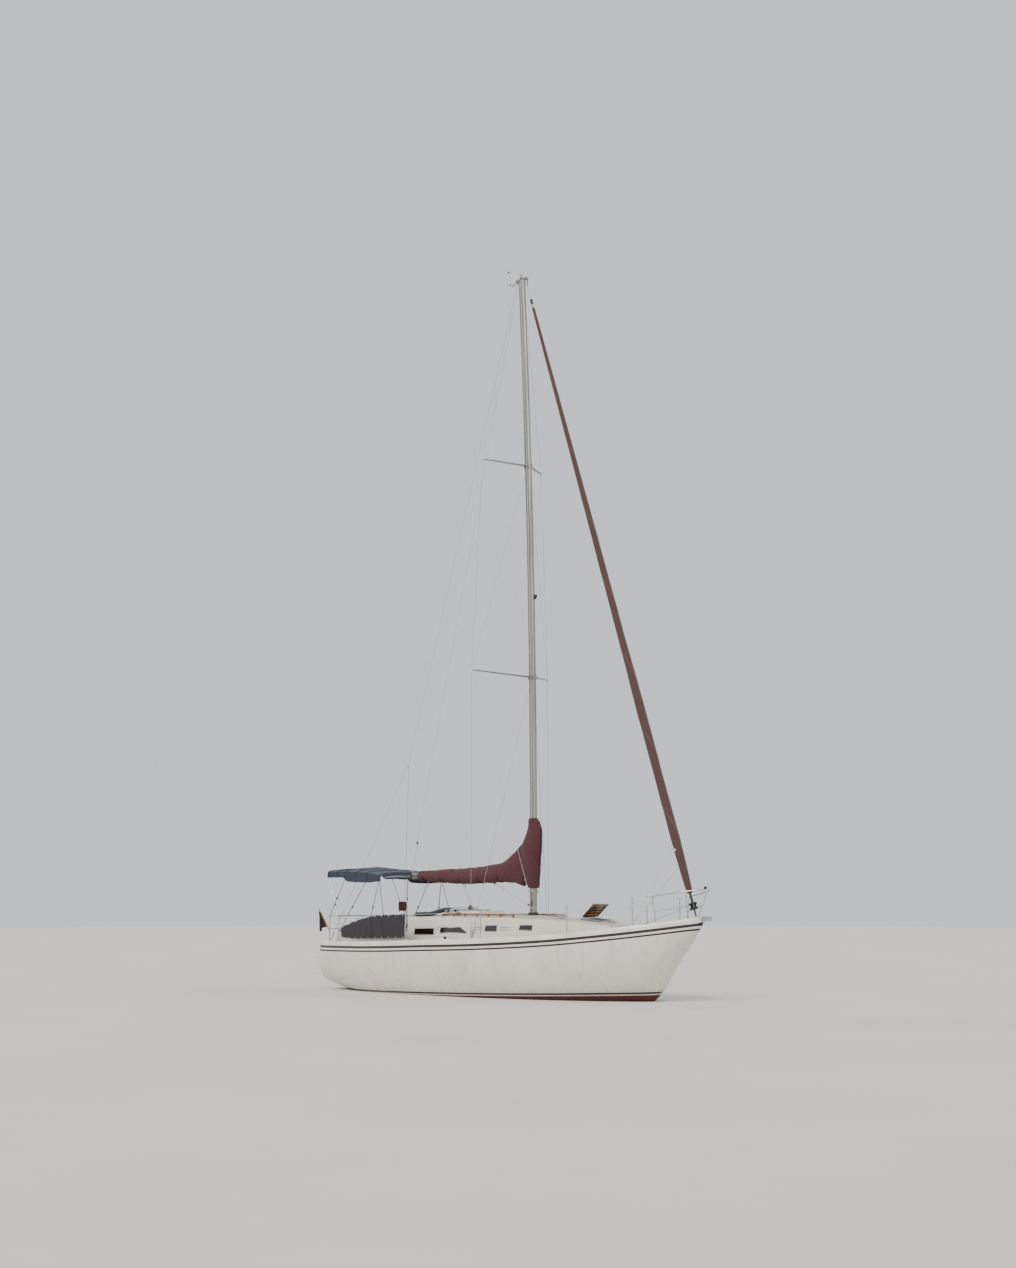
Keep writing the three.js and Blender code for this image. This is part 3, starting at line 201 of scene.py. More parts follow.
hull_lines = smooth_table(STATIONS)
hull_chords = straight_table(STATIONS)
roof_chords = straight_table(ROOF)
cover_lines = smooth_table(COVER)
collar_lines = smooth_table(COLLAR)
jib_radius = smooth_table(JIB)


def hull_point(x, turn):
    """A point of the hull's skin: turn runs from the keel line, 0, to the sheer, a quarter turn."""
    half, sheer, keel, full = hull_lines(x)
    y = half * max(math.sin(turn), 0.0) ** full
    return Vector((x, y, keel + (sheer - keel) * (1 - math.cos(turn))))


def transom_x(z):
    """Where the raked transom stands at a height."""
    return -4.75 - (1.05 - z) * 0.26 / 0.70


def boot_top(x):
    """Height of the boot stripe's upper edge, which rises towards the bow."""
    return 0.04 + 0.16 * max((x + 4.5) / 8.8, 0.0) ** 1.6


def side_point(x, z, side, out=0.0):
    """A point on the coachroof's side."""
    base, top, edge, _ = roof_chords(x)
    low = hull_chords(x)[1] + 0.005
    y = base + (top - base) * (z - low) / (edge - low)
    return Vector((x, side * (y + out), z))


def roof_z(x, y):
    """Height of the coachroof's top."""
    _, top, edge, crown = roof_chords(x)
    rows = [(0.0, edge + crown), (top * 0.6, edge + crown * 0.66), (top - 0.03, edge + crown * 0.1)]
    return straight_table(rows)(abs(y))[0]


def deck_z(x, y=9.0):
    """Height of the side deck or foredeck."""
    half, sheer = hull_chords(x)[:2]
    outer = half - 0.008
    inner = outer - min(0.056, outer * 0.3)
    high = sheer + DECK_THICK
    crown = DECK_CAMBER * half / WIDEST
    return straight_table([(0.0, high + crown), (inner * 0.55, high + crown * 0.75),
                           (inner, high)])(abs(y))[0]


def mast_x(z):
    """The mast's middle at a height: it rakes aft and bows forward a little."""
    share = (z - 1.713) / (MAST["top"] - 1.713)
    return MAST["x"] + (MAST["top_x"] - MAST["x"]) * share + 4 * MAST["bow"] * share * (1 - share)


def stay_at(z):
    """The point of the forestay at a height."""
    (low_x, low_z), (high_x, high_z) = FORESTAY
    share = (z - low_z) / (high_z - low_z)
    return Vector((low_x + (high_x - low_x) * share, 0, z))


def boom_z(x):
    """Height of the boom's middle line."""
    share = (GOOSENECK[0] - x) / (GOOSENECK[0] - BOOM["end"])
    return GOOSENECK[1] + share * (BOOM["end_z"] - GOOSENECK[1])


def catmull(points, steps=8, closed=False):
    """More points on a smooth curve through the given ones."""
    points = [Vector(p) for p in points]
    count = len(points)
    curve = []
    for i in range(count if closed else count - 1):
        if closed:
            a, b, c, d = (points[(i + k) % count] for k in (-1, 0, 1, 2))
        else:
            b, c = points[i], points[i + 1]
            a = points[i - 1] if i else b * 2 - c
            d = points[i + 2] if i + 2 < count else c * 2 - b
        for step in range(steps):
            t = step / steps
            curve.append(0.5 * (
                b * 2 + (c - a) * t + (a * 2 - b * 5 + c * 4 - d) * t**2 + (b * 3 - a - c * 3 + d) * t**3
            ))
    if not closed:
        curve.append(points[-1])
    return curve


def mirrored(points):
    """A path and its mirror image on the other side of the centreline, run as one."""
    return [*points, *[(x, -y, z) for x, y, z in reversed(points)]]


class Shape:
    """Points and faces of one piece, gathered form by form."""

    def __init__(self):
        self.points, self.faces, self.finish, self.uv = [], [], [], {}

    def put(self, points, faces, finish=0, place=None):
        start = len(self.points)
        self.points += [place @ Vector(p) if place else Vector(p) for p in points]
        self.faces += [tuple(start + i for i in face) for face in faces]
        self.finish += [finish] * len(faces)
        return self

    def loft(self, rings, finish=0, closed=True, caps=True, place=None):
        """A skin through rings of equal count."""
        count = len(rings[0])
        faces = []
        for r in range(len(rings) - 1):
            for i in range(count if closed else count - 1):
                a, b = r * count + i, r * count + (i + 1) % count
                faces.append((a, b, b + count, a + count))
        if caps:
            last = (len(rings) - 1) * count
            faces.append(tuple(range(count - 1, -1, -1)))
            faces.append(tuple(range(last, last + count)))
        return self.put([p for ring in rings for p in ring], faces, finish, place)

    def pipe(self, path, radius, finish=0, sides=10, closed=False, wide=1.0, place=None):
        """A tube along a path. Its radius may be a list, and wide widens it across the path's own level."""
        path = [Vector(p) for p in path]
        count = len(path)
        radii = radius if isinstance(radius, (list, tuple)) else [radius] * count
        rings = []
        level = Vector((0, 0, 1))
        for i, p in enumerate(path):
            before = path[i - 1] if i or closed else p
            after = path[(i + 1) % count] if i + 1 < count or closed else p
            along = (after - before).normalized()
            if i == 0 and abs(along.z) > 0.95:
                level = Vector((1, 0, 0))
            level = (level - along * level.dot(along)).normalized()
            across = along.cross(level)
            rings.append([
                p + across * (radii[i] * wide * math.cos(2 * math.pi * k / sides))
                + level * (radii[i] * math.sin(2 * math.pi * k / sides))
                for k in range(sides)
            ])
        if closed:
            rings.append(rings[0])
        return self.loft(rings, finish, caps=not closed, place=place)

    def lathe(self, profile, foot=(0, 0, 0), up=(0, 0, 1), finish=0, sides=28, place=None):
        """A turned form: profile rows are radius and height along up, from foot."""
        turn = Vector((0, 0, 1)).rotation_difference(Vector(up)).to_matrix().to_4x4()
        seat = Matrix.Translation(Vector(foot)) @ turn
        seat = place @ seat if place else seat
        rings = [
            [(max(r, 1e-4) * math.cos(2 * math.pi * k / sides),
              max(r, 1e-4) * math.sin(2 * math.pi * k / sides), z)
             for k in range(sides)]
            for r, z in profile
        ]
        return self.loft(rings, finish, place=seat)

    def slab(self, low, high, finish=0, ease=0.003, place=None):
        """A block with all its edges eased."""
        x0, y0, z0 = low
        x1, y1, z1 = high
        e = min(ease, (x1 - x0) / 3, (y1 - y0) / 3, (z1 - z0) / 3)

        def ring(z, inset):
            xs, ys = (x0 + inset, x1 - inset), (y0 + inset, y1 - inset)
            return [
                (xs[0] + e, ys[0], z), (xs[1] - e, ys[0], z), (xs[1], ys[0] + e, z), (xs[1], ys[1] - e, z),
                (xs[1] - e, ys[1], z), (xs[0] + e, ys[1], z), (xs[0], ys[1] - e, z), (xs[0], ys[0] + e, z),
            ]

        return self.loft([ring(z0, e), ring(z0 + e, 0), ring(z1 - e, 0), ring(z1, e)], finish, place=place)

    def plate(self, outline, thick, finish=0, ease=0.002, grow=0.0):
        """A thin plate from its outline of points, raised along the outline's own normal."""
        outline = [Vector(p) for p in outline]
        middle = sum(outline, Vector()) / len(outline)
        normal = sum(
            ((a - middle).cross(b - middle) for a, b in zip(outline, outline[1:] + outline[:1])), Vector()
        ).normalized()

        def ring(inset, rise):
            return [p - (p - middle).normalized() * inset + normal * rise for p in outline]

        return self.loft([ring(-grow, 0), ring(-grow, thick - ease), ring(ease, thick)], finish)

    def make(self, name, materials, body="yacht", stands_for=(), smooth=38, ride=True):
        """Turns the gathered forms into one object that rides on a body."""
        mesh = bpy.data.meshes.new(name)
        mesh.from_pydata([tuple(p) for p in self.points], [], self.faces)
        for material in materials:
            mesh.materials.append(material)
        mesh.polygons.foreach_set("material_index", self.finish)
        mesh.polygons.foreach_set("use_smooth", [True] * len(mesh.polygons))
        for key, values in self.uv.items():
            mesh.attributes.new(key, "FLOAT", "POINT").data.foreach_set("value", values)
        work = bmesh.new()
        work.from_mesh(mesh)
        bmesh.ops.recalc_face_normals(work, faces=work.faces)
        work.to_mesh(mesh)
        work.free()
        mesh.set_sharp_from_angle(angle=math.radians(smooth))
        piece = bpy.data.objects.new(name, mesh)
        bpy.context.collection.objects.link(piece)
        return settle(piece, body if ride else None, stands_for)


def settle(piece, body, stands_for):
    """Names what carries a piece and which solids it stands for."""
    if body:
        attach(piece, body)
    if stands_for:
        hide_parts(*stands_for)
    return piece


def apply_modifiers(piece):
    """Bakes the piece's modifiers into its mesh."""
    bpy.context.view_layer.update()
    graph = bpy.context.evaluated_depsgraph_get()
    mesh = bpy.data.meshes.new_from_object(piece.evaluated_get(graph))
    piece.modifiers.clear()
    piece.data = mesh
    return piece


def eased_copy(nodes, name, material, ease, body="yacht", partings=(), smooth=34):
    """A copy of solids with eased edges, which stands for them.

    Faces at a parting are taken out, and the two edges are joined.
    """
    work = bmesh.new()
    for node in nodes:
        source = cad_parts[node]
        copy = source.data.copy()
        copy.transform(source.matrix_world)
        work.from_mesh(copy)
        bpy.data.meshes.remove(copy)
    bmesh.ops.remove_doubles(work, verts=work.verts, dist=0.0001)
    loose = [
        face for face in work.faces
        if abs(face.normal.x) > 0.99 and any(abs(face.calc_center_median().x - x) < 0.0008 for x in partings)
    ]
    bmesh.ops.delete(work, geom=loose, context="FACES")
    bmesh.ops.remove_doubles(work, verts=work.verts, dist=0.0006)
    bmesh.ops.dissolve_limit(work, angle_limit=math.radians(2.0), verts=work.verts, edges=work.edges)
    mesh = bpy.data.meshes.new(name)
    work.to_mesh(mesh)
    work.free()
    mesh.materials.clear()
    mesh.materials.append(material)
    mesh.polygons.foreach_set("material_index", [0] * len(mesh.polygons))
    piece = bpy.data.objects.new(name, mesh)
    bpy.context.collection.objects.link(piece)
    bevel = piece.modifiers.new("ease", "BEVEL")
    bevel.width = ease
    bevel.segments = 3
    bevel.limit_method = "ANGLE"
    bevel.angle_limit = math.radians(32)
    bevel.use_clamp_overlap = True
    apply_modifiers(piece)
    piece.data.polygons.foreach_set("use_smooth", [True] * len(piece.data.polygons))
    piece.data.set_sharp_from_angle(angle=math.radians(smooth))
    return settle(piece, body, nodes)


# Materials

MADE = {}


def add(tree, kind, inputs=None, **settings):
    """Adds a node with its settings. A socket given as an input is linked, and anything else is set."""
    made = tree.nodes.new(kind)
    for key, value in settings.items():
        setattr(made, key, value)
    for key, value in (inputs or {}).items():
        if isinstance(value, bpy.types.NodeSocket):
            tree.links.new(value, made.inputs[key])
        else:
            made.inputs[key].default_value = value
    return made


def begin(name):
    """An empty material with its shader, and the object's own coordinates in metres."""
    material = bpy.data.materials.new(name)
    material.use_nodes = True
    tree = material.node_tree
    tree.nodes.clear()
    shader = add(tree, "ShaderNodeBsdfPrincipled")
    output = add(tree, "ShaderNodeOutputMaterial")
    tree.links.new(shader.outputs[0], output.inputs["Surface"])
    place = add(tree, "ShaderNodeTexCoord").outputs["Object"]
    MADE[name] = material
    return material, tree, shader, place


def mix(tree, share, first, second):
    """A colour between two others, as an output."""
    return add(
        tree, "ShaderNodeMix", {0: share, 6: first, 7: second}, data_type="RGBA", clamp_factor=True
    ).outputs[2]


def rgba(colour):
    """A colour, hex or linear, as the four numbers a socket takes."""
    return (*(linear(colour) if isinstance(colour, str) else tuple(colour)[:3]), 1.0)


def weathered(name, tone, worn, patch_mm, grain_mm, rough, relief_mm, stretch=(1, 1, 1), **sockets):
    """A surface whose tone wanders in patches, with a fine grain in its relief and gloss."""
    if name in MADE:
        return MADE[name]
    material, tree, shader, place = begin(name)
    drawn = add(tree, "ShaderNodeMapping", {"Vector": place, "Scale": stretch}).outputs[0]
    patches = add(tree, "ShaderNodeTexNoise", {"Vector": drawn, "Scale": 1000 / patch_mm, "Detail": 5.0})
    grain = add(tree, "ShaderNodeTexNoise", {"Vector": drawn, "Scale": 1000 / grain_mm, "Detail": 3.0})
    share = add(
        tree, "ShaderNodeMapRange",
        {"Value": patches.outputs[0], "From Min": 0.35, "From Max": 0.7, "To Min": 0.0, "To Max": 1.0},
    ).outputs[0]
    tree.links.new(mix(tree, share, rgba(tone), rgba(worn)), shader.inputs["Base Color"])
    gloss = add(
        tree, "ShaderNodeMapRange",
        {"Value": grain.outputs[0], "From Min": 0.3, "From Max": 0.7, "To Min": rough * 0.82,
         "To Max": min(rough * 1.25, 1.0)},
    ).outputs[0]
    tree.links.new(gloss, shader.inputs["Roughness"])
    relief = add(
        tree, "ShaderNodeBump", {"Height": grain.outputs[0], "Distance": relief_mm / 1000, "Strength": 0.6}
    )
    tree.links.new(relief.outputs[0], shader.inputs["Normal"])
    for key, value in sockets.items():
        shader.inputs[key.replace("_", " ")].default_value = value
    return material


def band(tree, value, low, high):
    """One where a value lies between two bounds, and nought elsewhere."""
    above = add(tree, "ShaderNodeMath", {0: value, 1: low}, operation="GREATER_THAN").outputs[0]
    below = add(tree, "ShaderNodeMath", {0: value, 1: high}, operation="LESS_THAN").outputs[0]
    return add(tree, "ShaderNodeMath", {0: above, 1: below}, operation="MULTIPLY").outputs[0]


def white_gelcoat():
    """Moulded polyester gelcoat: glossy off-white that has chalked a little in patches."""
    look = bpy.context.scene.yacht_look
    return weathered(
        "gelcoat_white", look.topsides, linear("#d3cfc6"), 420, 5, 0.24, 0.05, Coat_Weight=0.35,
        Coat_Roughness=0.12,
    )


def painted_hull():
    """Gelcoat topsides with painted lines: two dark ones under the rail, the upper one partly the rail's
    painted shadow, a dark boot stripe, antifouling.
    """
    if "gelcoat_hull" in MADE:
        return MADE["gelcoat_hull"]
    look = bpy.context.scene.yacht_look
    material, tree, shader, place = begin("gelcoat_hull")
    drop = add(tree, "ShaderNodeAttribute", attribute_name="drop").outputs["Fac"]
    boot = add(tree, "ShaderNodeAttribute", attribute_name="boot").outputs["Fac"]
    broad = add(tree, "ShaderNodeTexNoise", {"Vector": place, "Scale": 1.6, "Detail": 4.0}).outputs[0]
    tall = add(tree, "ShaderNodeMapping", {"Vector": place, "Scale": (9.0, 9.0, 0.5)}).outputs[0]
    runs = add(tree, "ShaderNodeTexNoise", {"Vector": tall, "Scale": 1.4, "Detail": 6.0}).outputs[0]
    run_share = add(
        tree, "ShaderNodeMapRange", {"Value": runs, "From Min": 0.52, "From Max": 0.8, "To Max": 0.45}
    ).outputs[0]
    base = mix(tree, broad, rgba(look.topsides), rgba("#cdc9c1"))
    base = mix(tree, run_share, base, rgba("#a89f92"))
    scum = add(
        tree, "ShaderNodeMapRange", {"Value": boot, "From Min": 0.16, "From Max": 0.0, "To Max": 0.4}
    ).outputs[0]
    base = mix(tree, add(tree, "ShaderNodeMath", {0: scum, 1: runs}, operation="MULTIPLY").outputs[0], base,
               rgba("#8d7f62"))
    # The upper dark band right under the rail is a dark strake with the rail's painted shadow in it.
    base = mix(tree, band(tree, drop, 0.004, 0.070), base, rgba(look.lines))
    base = mix(tree, band(tree, drop, 0.112, 0.148), base, rgba(look.lines))
    base = mix(tree, band(tree, boot, -0.040, 0.0), base, rgba(look.lines))
    under = band(tree, boot, -9.0, -0.062)
    fouled = mix(tree, broad, rgba(look.antifouling), rgba("#43231c"))
    base = mix(tree, under, base, fouled)
    tree.links.new(base, shader.inputs["Base Color"])
    rough = add(tree, "ShaderNodeMapRange", {"Value": under, "To Min": 0.2, "To Max": 0.85}).outputs[0]
    rough = add(tree, "ShaderNodeMath", {0: rough, 1: run_share, 2: 0.0}, operation="ADD").outputs[0]
    tree.links.new(rough, shader.inputs["Roughness"])
    fair = add(tree, "ShaderNodeTexNoise", {"Vector": place, "Scale": 2.2, "Detail": 2.0}).outputs[0]
    relief = add(tree, "ShaderNodeBump", {"Height": fair, "Distance": 0.004, "Strength": 0.35})
    tree.links.new(relief.outputs[0], shader.inputs["Normal"])
    return material


def deck_gelcoat():
    """Satin gelcoat with moulded non-slip on the level faces, in panels with smooth margins between."""
    if "gelcoat_non_slip" in MADE:
        return MADE["gelcoat_non_slip"]
    look = bpy.context.scene.yacht_look
    material, tree, shader, place = begin("gelcoat_non_slip")
    parts = add(tree, "ShaderNodeSeparateXYZ", {0: place})
    level = add(tree, "ShaderNodeSeparateXYZ", {0: add(tree, "ShaderNodeNewGeometry").outputs["Normal"]})
    flat = add(tree, "ShaderNodeMath", {0: level.outputs[2], 1: 0.93}, operation="GREATER_THAN").outputs[0]
    run = add(tree, "ShaderNodeMath", {0: parts.outputs[0], 1: 0.82, 2: 0.0}, operation="WRAP").outputs[0]
    across = add(tree, "ShaderNodeMath", {0: parts.outputs[1]}, operation="ABSOLUTE").outputs[0]
    open_x = add(tree, "ShaderNodeMath", {0: run, 1: 0.045}, operation="GREATER_THAN").outputs[0]
    open_y = add(tree, "ShaderNodeMath", {0: across, 1: 0.022}, operation="GREATER_THAN").outputs[0]
    panel = add(tree, "ShaderNodeMath", {0: open_x, 1: open_y}, operation="MULTIPLY").outputs[0]
    panel = add(tree, "ShaderNodeMath", {0: panel, 1: flat}, operation="MULTIPLY").outputs[0]
    broad = add(tree, "ShaderNodeTexNoise", {"Vector": place, "Scale": 2.4, "Detail": 6.0}).outputs[0]
    clean = mix(tree, broad, rgba(look.deck), rgba("#c3bdb1"))
    grey = mix(tree, broad, rgba(look.non_slip), rgba("#a9a496"))
    tree.links.new(mix(tree, panel, clean, grey), shader.inputs["Base Color"])
    # The real pimples are 2 mm apart; they are drawn 9 mm apart so that they show
    pimples = add(tree, "ShaderNodeTexVoronoi", {"Vector": place, "Scale": 1 / 0.009}).outputs["Distance"]
    raised = add(tree, "ShaderNodeMath", {0: pimples, 1: panel}, operation="MULTIPLY").outputs[0]
    relief = add(tree, "ShaderNodeBump", {"Height": raised, "Distance": 0.0016, "Strength": 0.8}, invert=True)
    tree.links.new(relief.outputs[0], shader.inputs["Normal"])
    rough = add(tree, "ShaderNodeMapRange", {"Value": panel, "To Min": 0.34, "To Max": 0.72}).outputs[0]
    tree.links.new(rough, shader.inputs["Roughness"])
    return material


def woven_canvas(name, colour, faded, thread_mm=5.0):
    """Woven acrylic canvas: matt, with crossing threads, a soft sheen, and paler patches on faces that look
    up: sun fading with painted skylight.
    """
    if name in MADE:
        return MADE[name]
    material, tree, shader, place = begin(name)
    # The real threads are 0.6 mm apart; they are drawn coarser so that the weave shows
    tilt = add(tree, "ShaderNodeMapping", {"Vector": place, "Rotation": (0.7, 0.15, 0.1)}).outputs[0]
    warp = add(
        tree, "ShaderNodeTexWave", {"Vector": tilt, "Scale": 0.314 / (thread_mm / 1000), "Distortion": 0.6},
        bands_direction="X",
    ).outputs["Fac"]
    weft = add(
        tree, "ShaderNodeTexWave", {"Vector": tilt, "Scale": 0.314 / (thread_mm / 1000), "Distortion": 0.6},
        bands_direction="Z",
    ).outputs["Fac"]
    weave = add(tree, "ShaderNodeMath", {0: warp, 1: weft}, operation="MAXIMUM").outputs[0]
    broad = add(tree, "ShaderNodeTexNoise", {"Vector": place, "Scale": 3.2, "Detail": 6.0}).outputs[0]
    # Faces that look up are made paler in patches: partly sun fading, partly painted skylight.
    upright = add(tree, "ShaderNodeSeparateXYZ", {0: add(tree, "ShaderNodeNewGeometry").outputs["Normal"]})
    sky_facing = add(
        tree, "ShaderNodeMapRange",
        {"Value": upright.outputs[2], "From Min": 0.1, "From Max": 1.0, "To Max": 0.75}
    ).outputs[0]
    sun_fade_and_skylight = add(tree, "ShaderNodeMath", {0: sky_facing, 1: broad}, operation="MULTIPLY").outputs[0]
    base = mix(tree, sun_fade_and_skylight, rgba(colour), rgba(faded))
    # The threads' crowns are painted paler than the grooves between them: painted shade in the weave.
    shade = add(tree, "ShaderNodeMapRange", {"Value": weave, "To Min": 0.0, "To Max": 0.28}).outputs[0]
    base = mix(tree, shade, base, rgba(faded))
    tree.links.new(base, shader.inputs["Base Color"])
    relief = add(tree, "ShaderNodeBump", {"Height": weave, "Distance": 0.0009, "Strength": 0.55})
    creases = add(tree, "ShaderNodeTexNoise", {"Vector": place, "Scale": 9.0, "Detail": 4.0}).outputs[0]
    folds = add(
        tree, "ShaderNodeBump",
        {"Height": creases, "Distance": 0.010, "Strength": 0.4, "Normal": relief.outputs[0]},
    )
    tree.links.new(folds.outputs[0], shader.inputs["Normal"])
    shader.inputs["Roughness"].default_value = 0.92
    shader.inputs["Sheen Weight"].default_value = 0.10
    shader.inputs["Sheen Roughness"].default_value = 0.5
    return material


def furled_sailcloth():
    """Sailcloth rolled on the stay: matt brown-red, with each turn's lip a little faded."""
    if "sailcloth_polyester" in MADE:
        return MADE["sailcloth_polyester"]
    look = bpy.context.scene.yacht_look
    material, tree, shader, place = begin("sailcloth_polyester")
    turn = add(tree, "ShaderNodeAttribute", attribute_name="wrap").outputs["Fac"]
    lip = band(tree, turn, 0.0, 0.10)
    cloth_noise = add(tree, "ShaderNodeTexNoise", {"Vector": place, "Scale": 14.0, "Detail": 5.0}).outputs[0]
    dark = mix(tree, cloth_noise, rgba(look.sunstrip), rgba("#51332f"))
    faded = mix(tree, cloth_noise, rgba("#5d3d38"), rgba("#4a2e2b"))
    tree.links.new(mix(tree, lip, dark, faded), shader.inputs["Base Color"])
    relief = add(tree, "ShaderNodeBump", {"Height": cloth_noise, "Distance": 0.004, "Strength": 0.5})
    tree.links.new(relief.outputs[0], shader.inputs["Normal"])
    shader.inputs["Roughness"].default_value = 0.78
    shader.inputs["Sheen Weight"].default_value = 0.15
    return material


def polished_stainless():
    """Polished stainless steel tube and wire: bright, with faint drawing lines."""
    return weathered(
        "stainless_polished", "#c9cac8", "#b2b3b1", 90, 2, 0.2, 0.02, Metallic=1.0
    )


def anodised_aluminium():
    """Extruded aluminium, silver anodised: satin, with long streaks down the extrusion."""
    look = bpy.context.scene.yacht_look
    return weathered(
        "aluminium_anodised", look.spars, linear("#7f807f"), 120, 6, 0.42, 0.05, stretch=(1, 1, 0.06),
        Metallic=0.85,
    )


def boom_aluminium():
    """The same extrusion lying down, so its streaks run fore and aft."""
    look = bpy.context.scene.yacht_look
    return weathered(
        "aluminium_boom", look.spars, linear("#7f807f"), 120, 6, 0.42, 0.05, stretch=(0.06, 1, 1),
        Metallic=0.85,
    )


def oiled_teak(across=False):
    """Oiled teak: warm brown with dark grain lines that run fore and aft, or across in a board."""
    name = "teak_board" if across else "teak_oiled"
    if name in MADE:
        return MADE[name]
    material, tree, shader, place = begin(name)
    stretch = (1.0, 0.06, 1.0) if across else (0.06, 1.0, 1.0)
    drawn = add(tree, "ShaderNodeMapping", {"Vector": place, "Scale": stretch}).outputs[0]
    grain = add(tree, "ShaderNodeTexNoise", {"Vector": drawn, "Scale": 190.0, "Detail": 6.0}).outputs[0]
    plank = add(tree, "ShaderNodeTexNoise", {"Vector": drawn, "Scale": 14.0, "Detail": 2.0}).outputs[0]
    sharp = add(
        tree, "ShaderNodeMapRange", {"Value": grain, "From Min": 0.4, "From Max": 0.62}
    ).outputs[0]
    base = mix(tree, plank, rgba("#8c5c34"), rgba("#a97a4b"))
    base = mix(tree, sharp, rgba("#5d3a1f"), base)
    tree.links.new(base, shader.inputs["Base Color"])
    relief = add(tree, "ShaderNodeBump", {"Height": grain, "Distance": 0.0008, "Strength": 0.6})
    tree.links.new(relief.outputs[0], shader.inputs["Normal"])
    shader.inputs["Roughness"].default_value = 0.55
    return material


def cast_bronze():
    """Cast manganese bronze: dull gold-brown with darker patches in the hollows."""
    return weathered("bronze_cast", "#9a7440", "#5e4a2c", 60, 3, 0.38, 0.15, Metallic=1.0)


def ablative_antifouling():
    """Rolled antifouling paint: matt dark red-brown with roller stipple."""
    look = bpy.context.scene.yacht_look
    return weathered("antifouling_rolled", look.antifouling, linear("#43231c"), 260, 7, 0.85, 0.4)


def painted_iron():
    """Cast iron under grey enamel: satin with a sandy casting grain."""
    return weathered("iron_enamelled", "#4f5556", "#3a3f40", 80, 3, 0.5, 0.4)


def black_rubber():
    """Moulded black rubber and nylon: nearly black, softly matt."""
    return weathered("rubber_black", "#1b1c1d", "#2a2b2c", 70, 3, 0.62, 0.1)


def white_nylon():
    """Moulded white nylon: matt and a little yellowed."""
    return weathered("nylon_white", "#d9d6cd", "#c6c0b1", 60, 3, 0.5, 0.1)


def smoked_acrylic():
    """Cast acrylic sheet, smoked: almost black, glossy, with fine rub marks."""
    return weathered(
        "acrylic_smoked", "#17110f", "#241b18", 160, 8, 0.1, 0.02, Coat_Weight=0.6, Coat_Roughness=0.05
    )


def sunset_glow_acrylic():
    """Cast acrylic sheet whose amber is painted sunset glow shining through and off it: glossy, and light
    comes through it.
    """
    return weathered(
        "acrylic_painted_sunset_glow", "#c8853a", "#b06c28", 140, 8, 0.14, 0.02, Transmission_Weight=0.55, IOR=1.49,
        Coat_Weight=0.4, Coat_Roughness=0.06,
    )


def braided_rope(name, colour, fleck):
    """Braided polyester rope: strands that cross round it, with flecks of another colour."""
    if name in MADE:
        return MADE[name]
    material, tree, shader, place = begin(name)
    # Strands are 1.5 mm wide on a 10 mm rope
    strands = add(
        tree, "ShaderNodeTexWave", {"Vector": place, "Scale": 0.314 / 0.006, "Distortion": 1.5},
        bands_direction="DIAGONAL",
    ).outputs["Fac"]
    spots = add(tree, "ShaderNodeTexNoise", {"Vector": place, "Scale": 120.0, "Detail": 2.0}).outputs[0]
    share = add(tree, "ShaderNodeMapRange", {"Value": spots, "From Min": 0.5, "From Max": 0.75}).outputs[0]
    tree.links.new(mix(tree, share, rgba(colour), rgba(fleck)), shader.inputs["Base Color"])
    relief = add(tree, "ShaderNodeBump", {"Height": strands, "Distance": 0.001, "Strength": 0.7})
    tree.links.new(relief.outputs[0], shader.inputs["Normal"])
    shader.inputs["Roughness"].default_value = 0.85
    return material


def white_rope():
    """Off-white braided polyester with a grey fleck."""
    return braided_rope("rope_white", "#d8d4c8", "#7f8794")


def blue_rope():
    """Slate-blue braided polyester with an off-white fleck."""
    return braided_rope("rope_blue", "#4c5a70", "#d8d4c8")


def lamp_lens(name, colour):
    """Moulded polycarbonate lens: glossy, tinted and half clear."""
    return weathered(
        name, colour, colour, 40, 4, 0.12, 0.01, Transmission_Weight=0.4, Coat_Weight=0.5, Coat_Roughness=0.05
    )


def maroon_canvas():
    """Dark wine-red sail cover cloth, a little browner on faces that look up: sun fading with painted
    skylight.
    """
    look = bpy.context.scene.yacht_look
    return woven_canvas("canvas_maroon", look.cover, linear("#5c3034"))


def navy_canvas():
    """Dark blue-grey awning cloth, paler on its upper side: sun chalking with painted skylight."""
    look = bpy.context.scene.yacht_look
    return woven_canvas("canvas_navy", look.bimini, linear("#424b58"))


def charcoal_canvas():
    """Nearly black cloth of the weather cloths and straps."""
    look = bpy.context.scene.yacht_look
    return woven_canvas("canvas_charcoal", look.cloths, linear("#37343a"))


def zip_band_and_highlight():
    """Pale grey woven webbing of a zip band, made paler by a painted highlight on the front slope."""
    return woven_canvas("webbing_grey_and_painted_highlight", linear("#7d8087"), linear("#9a9ca1"), 3.0)


# Hull and underwater gear


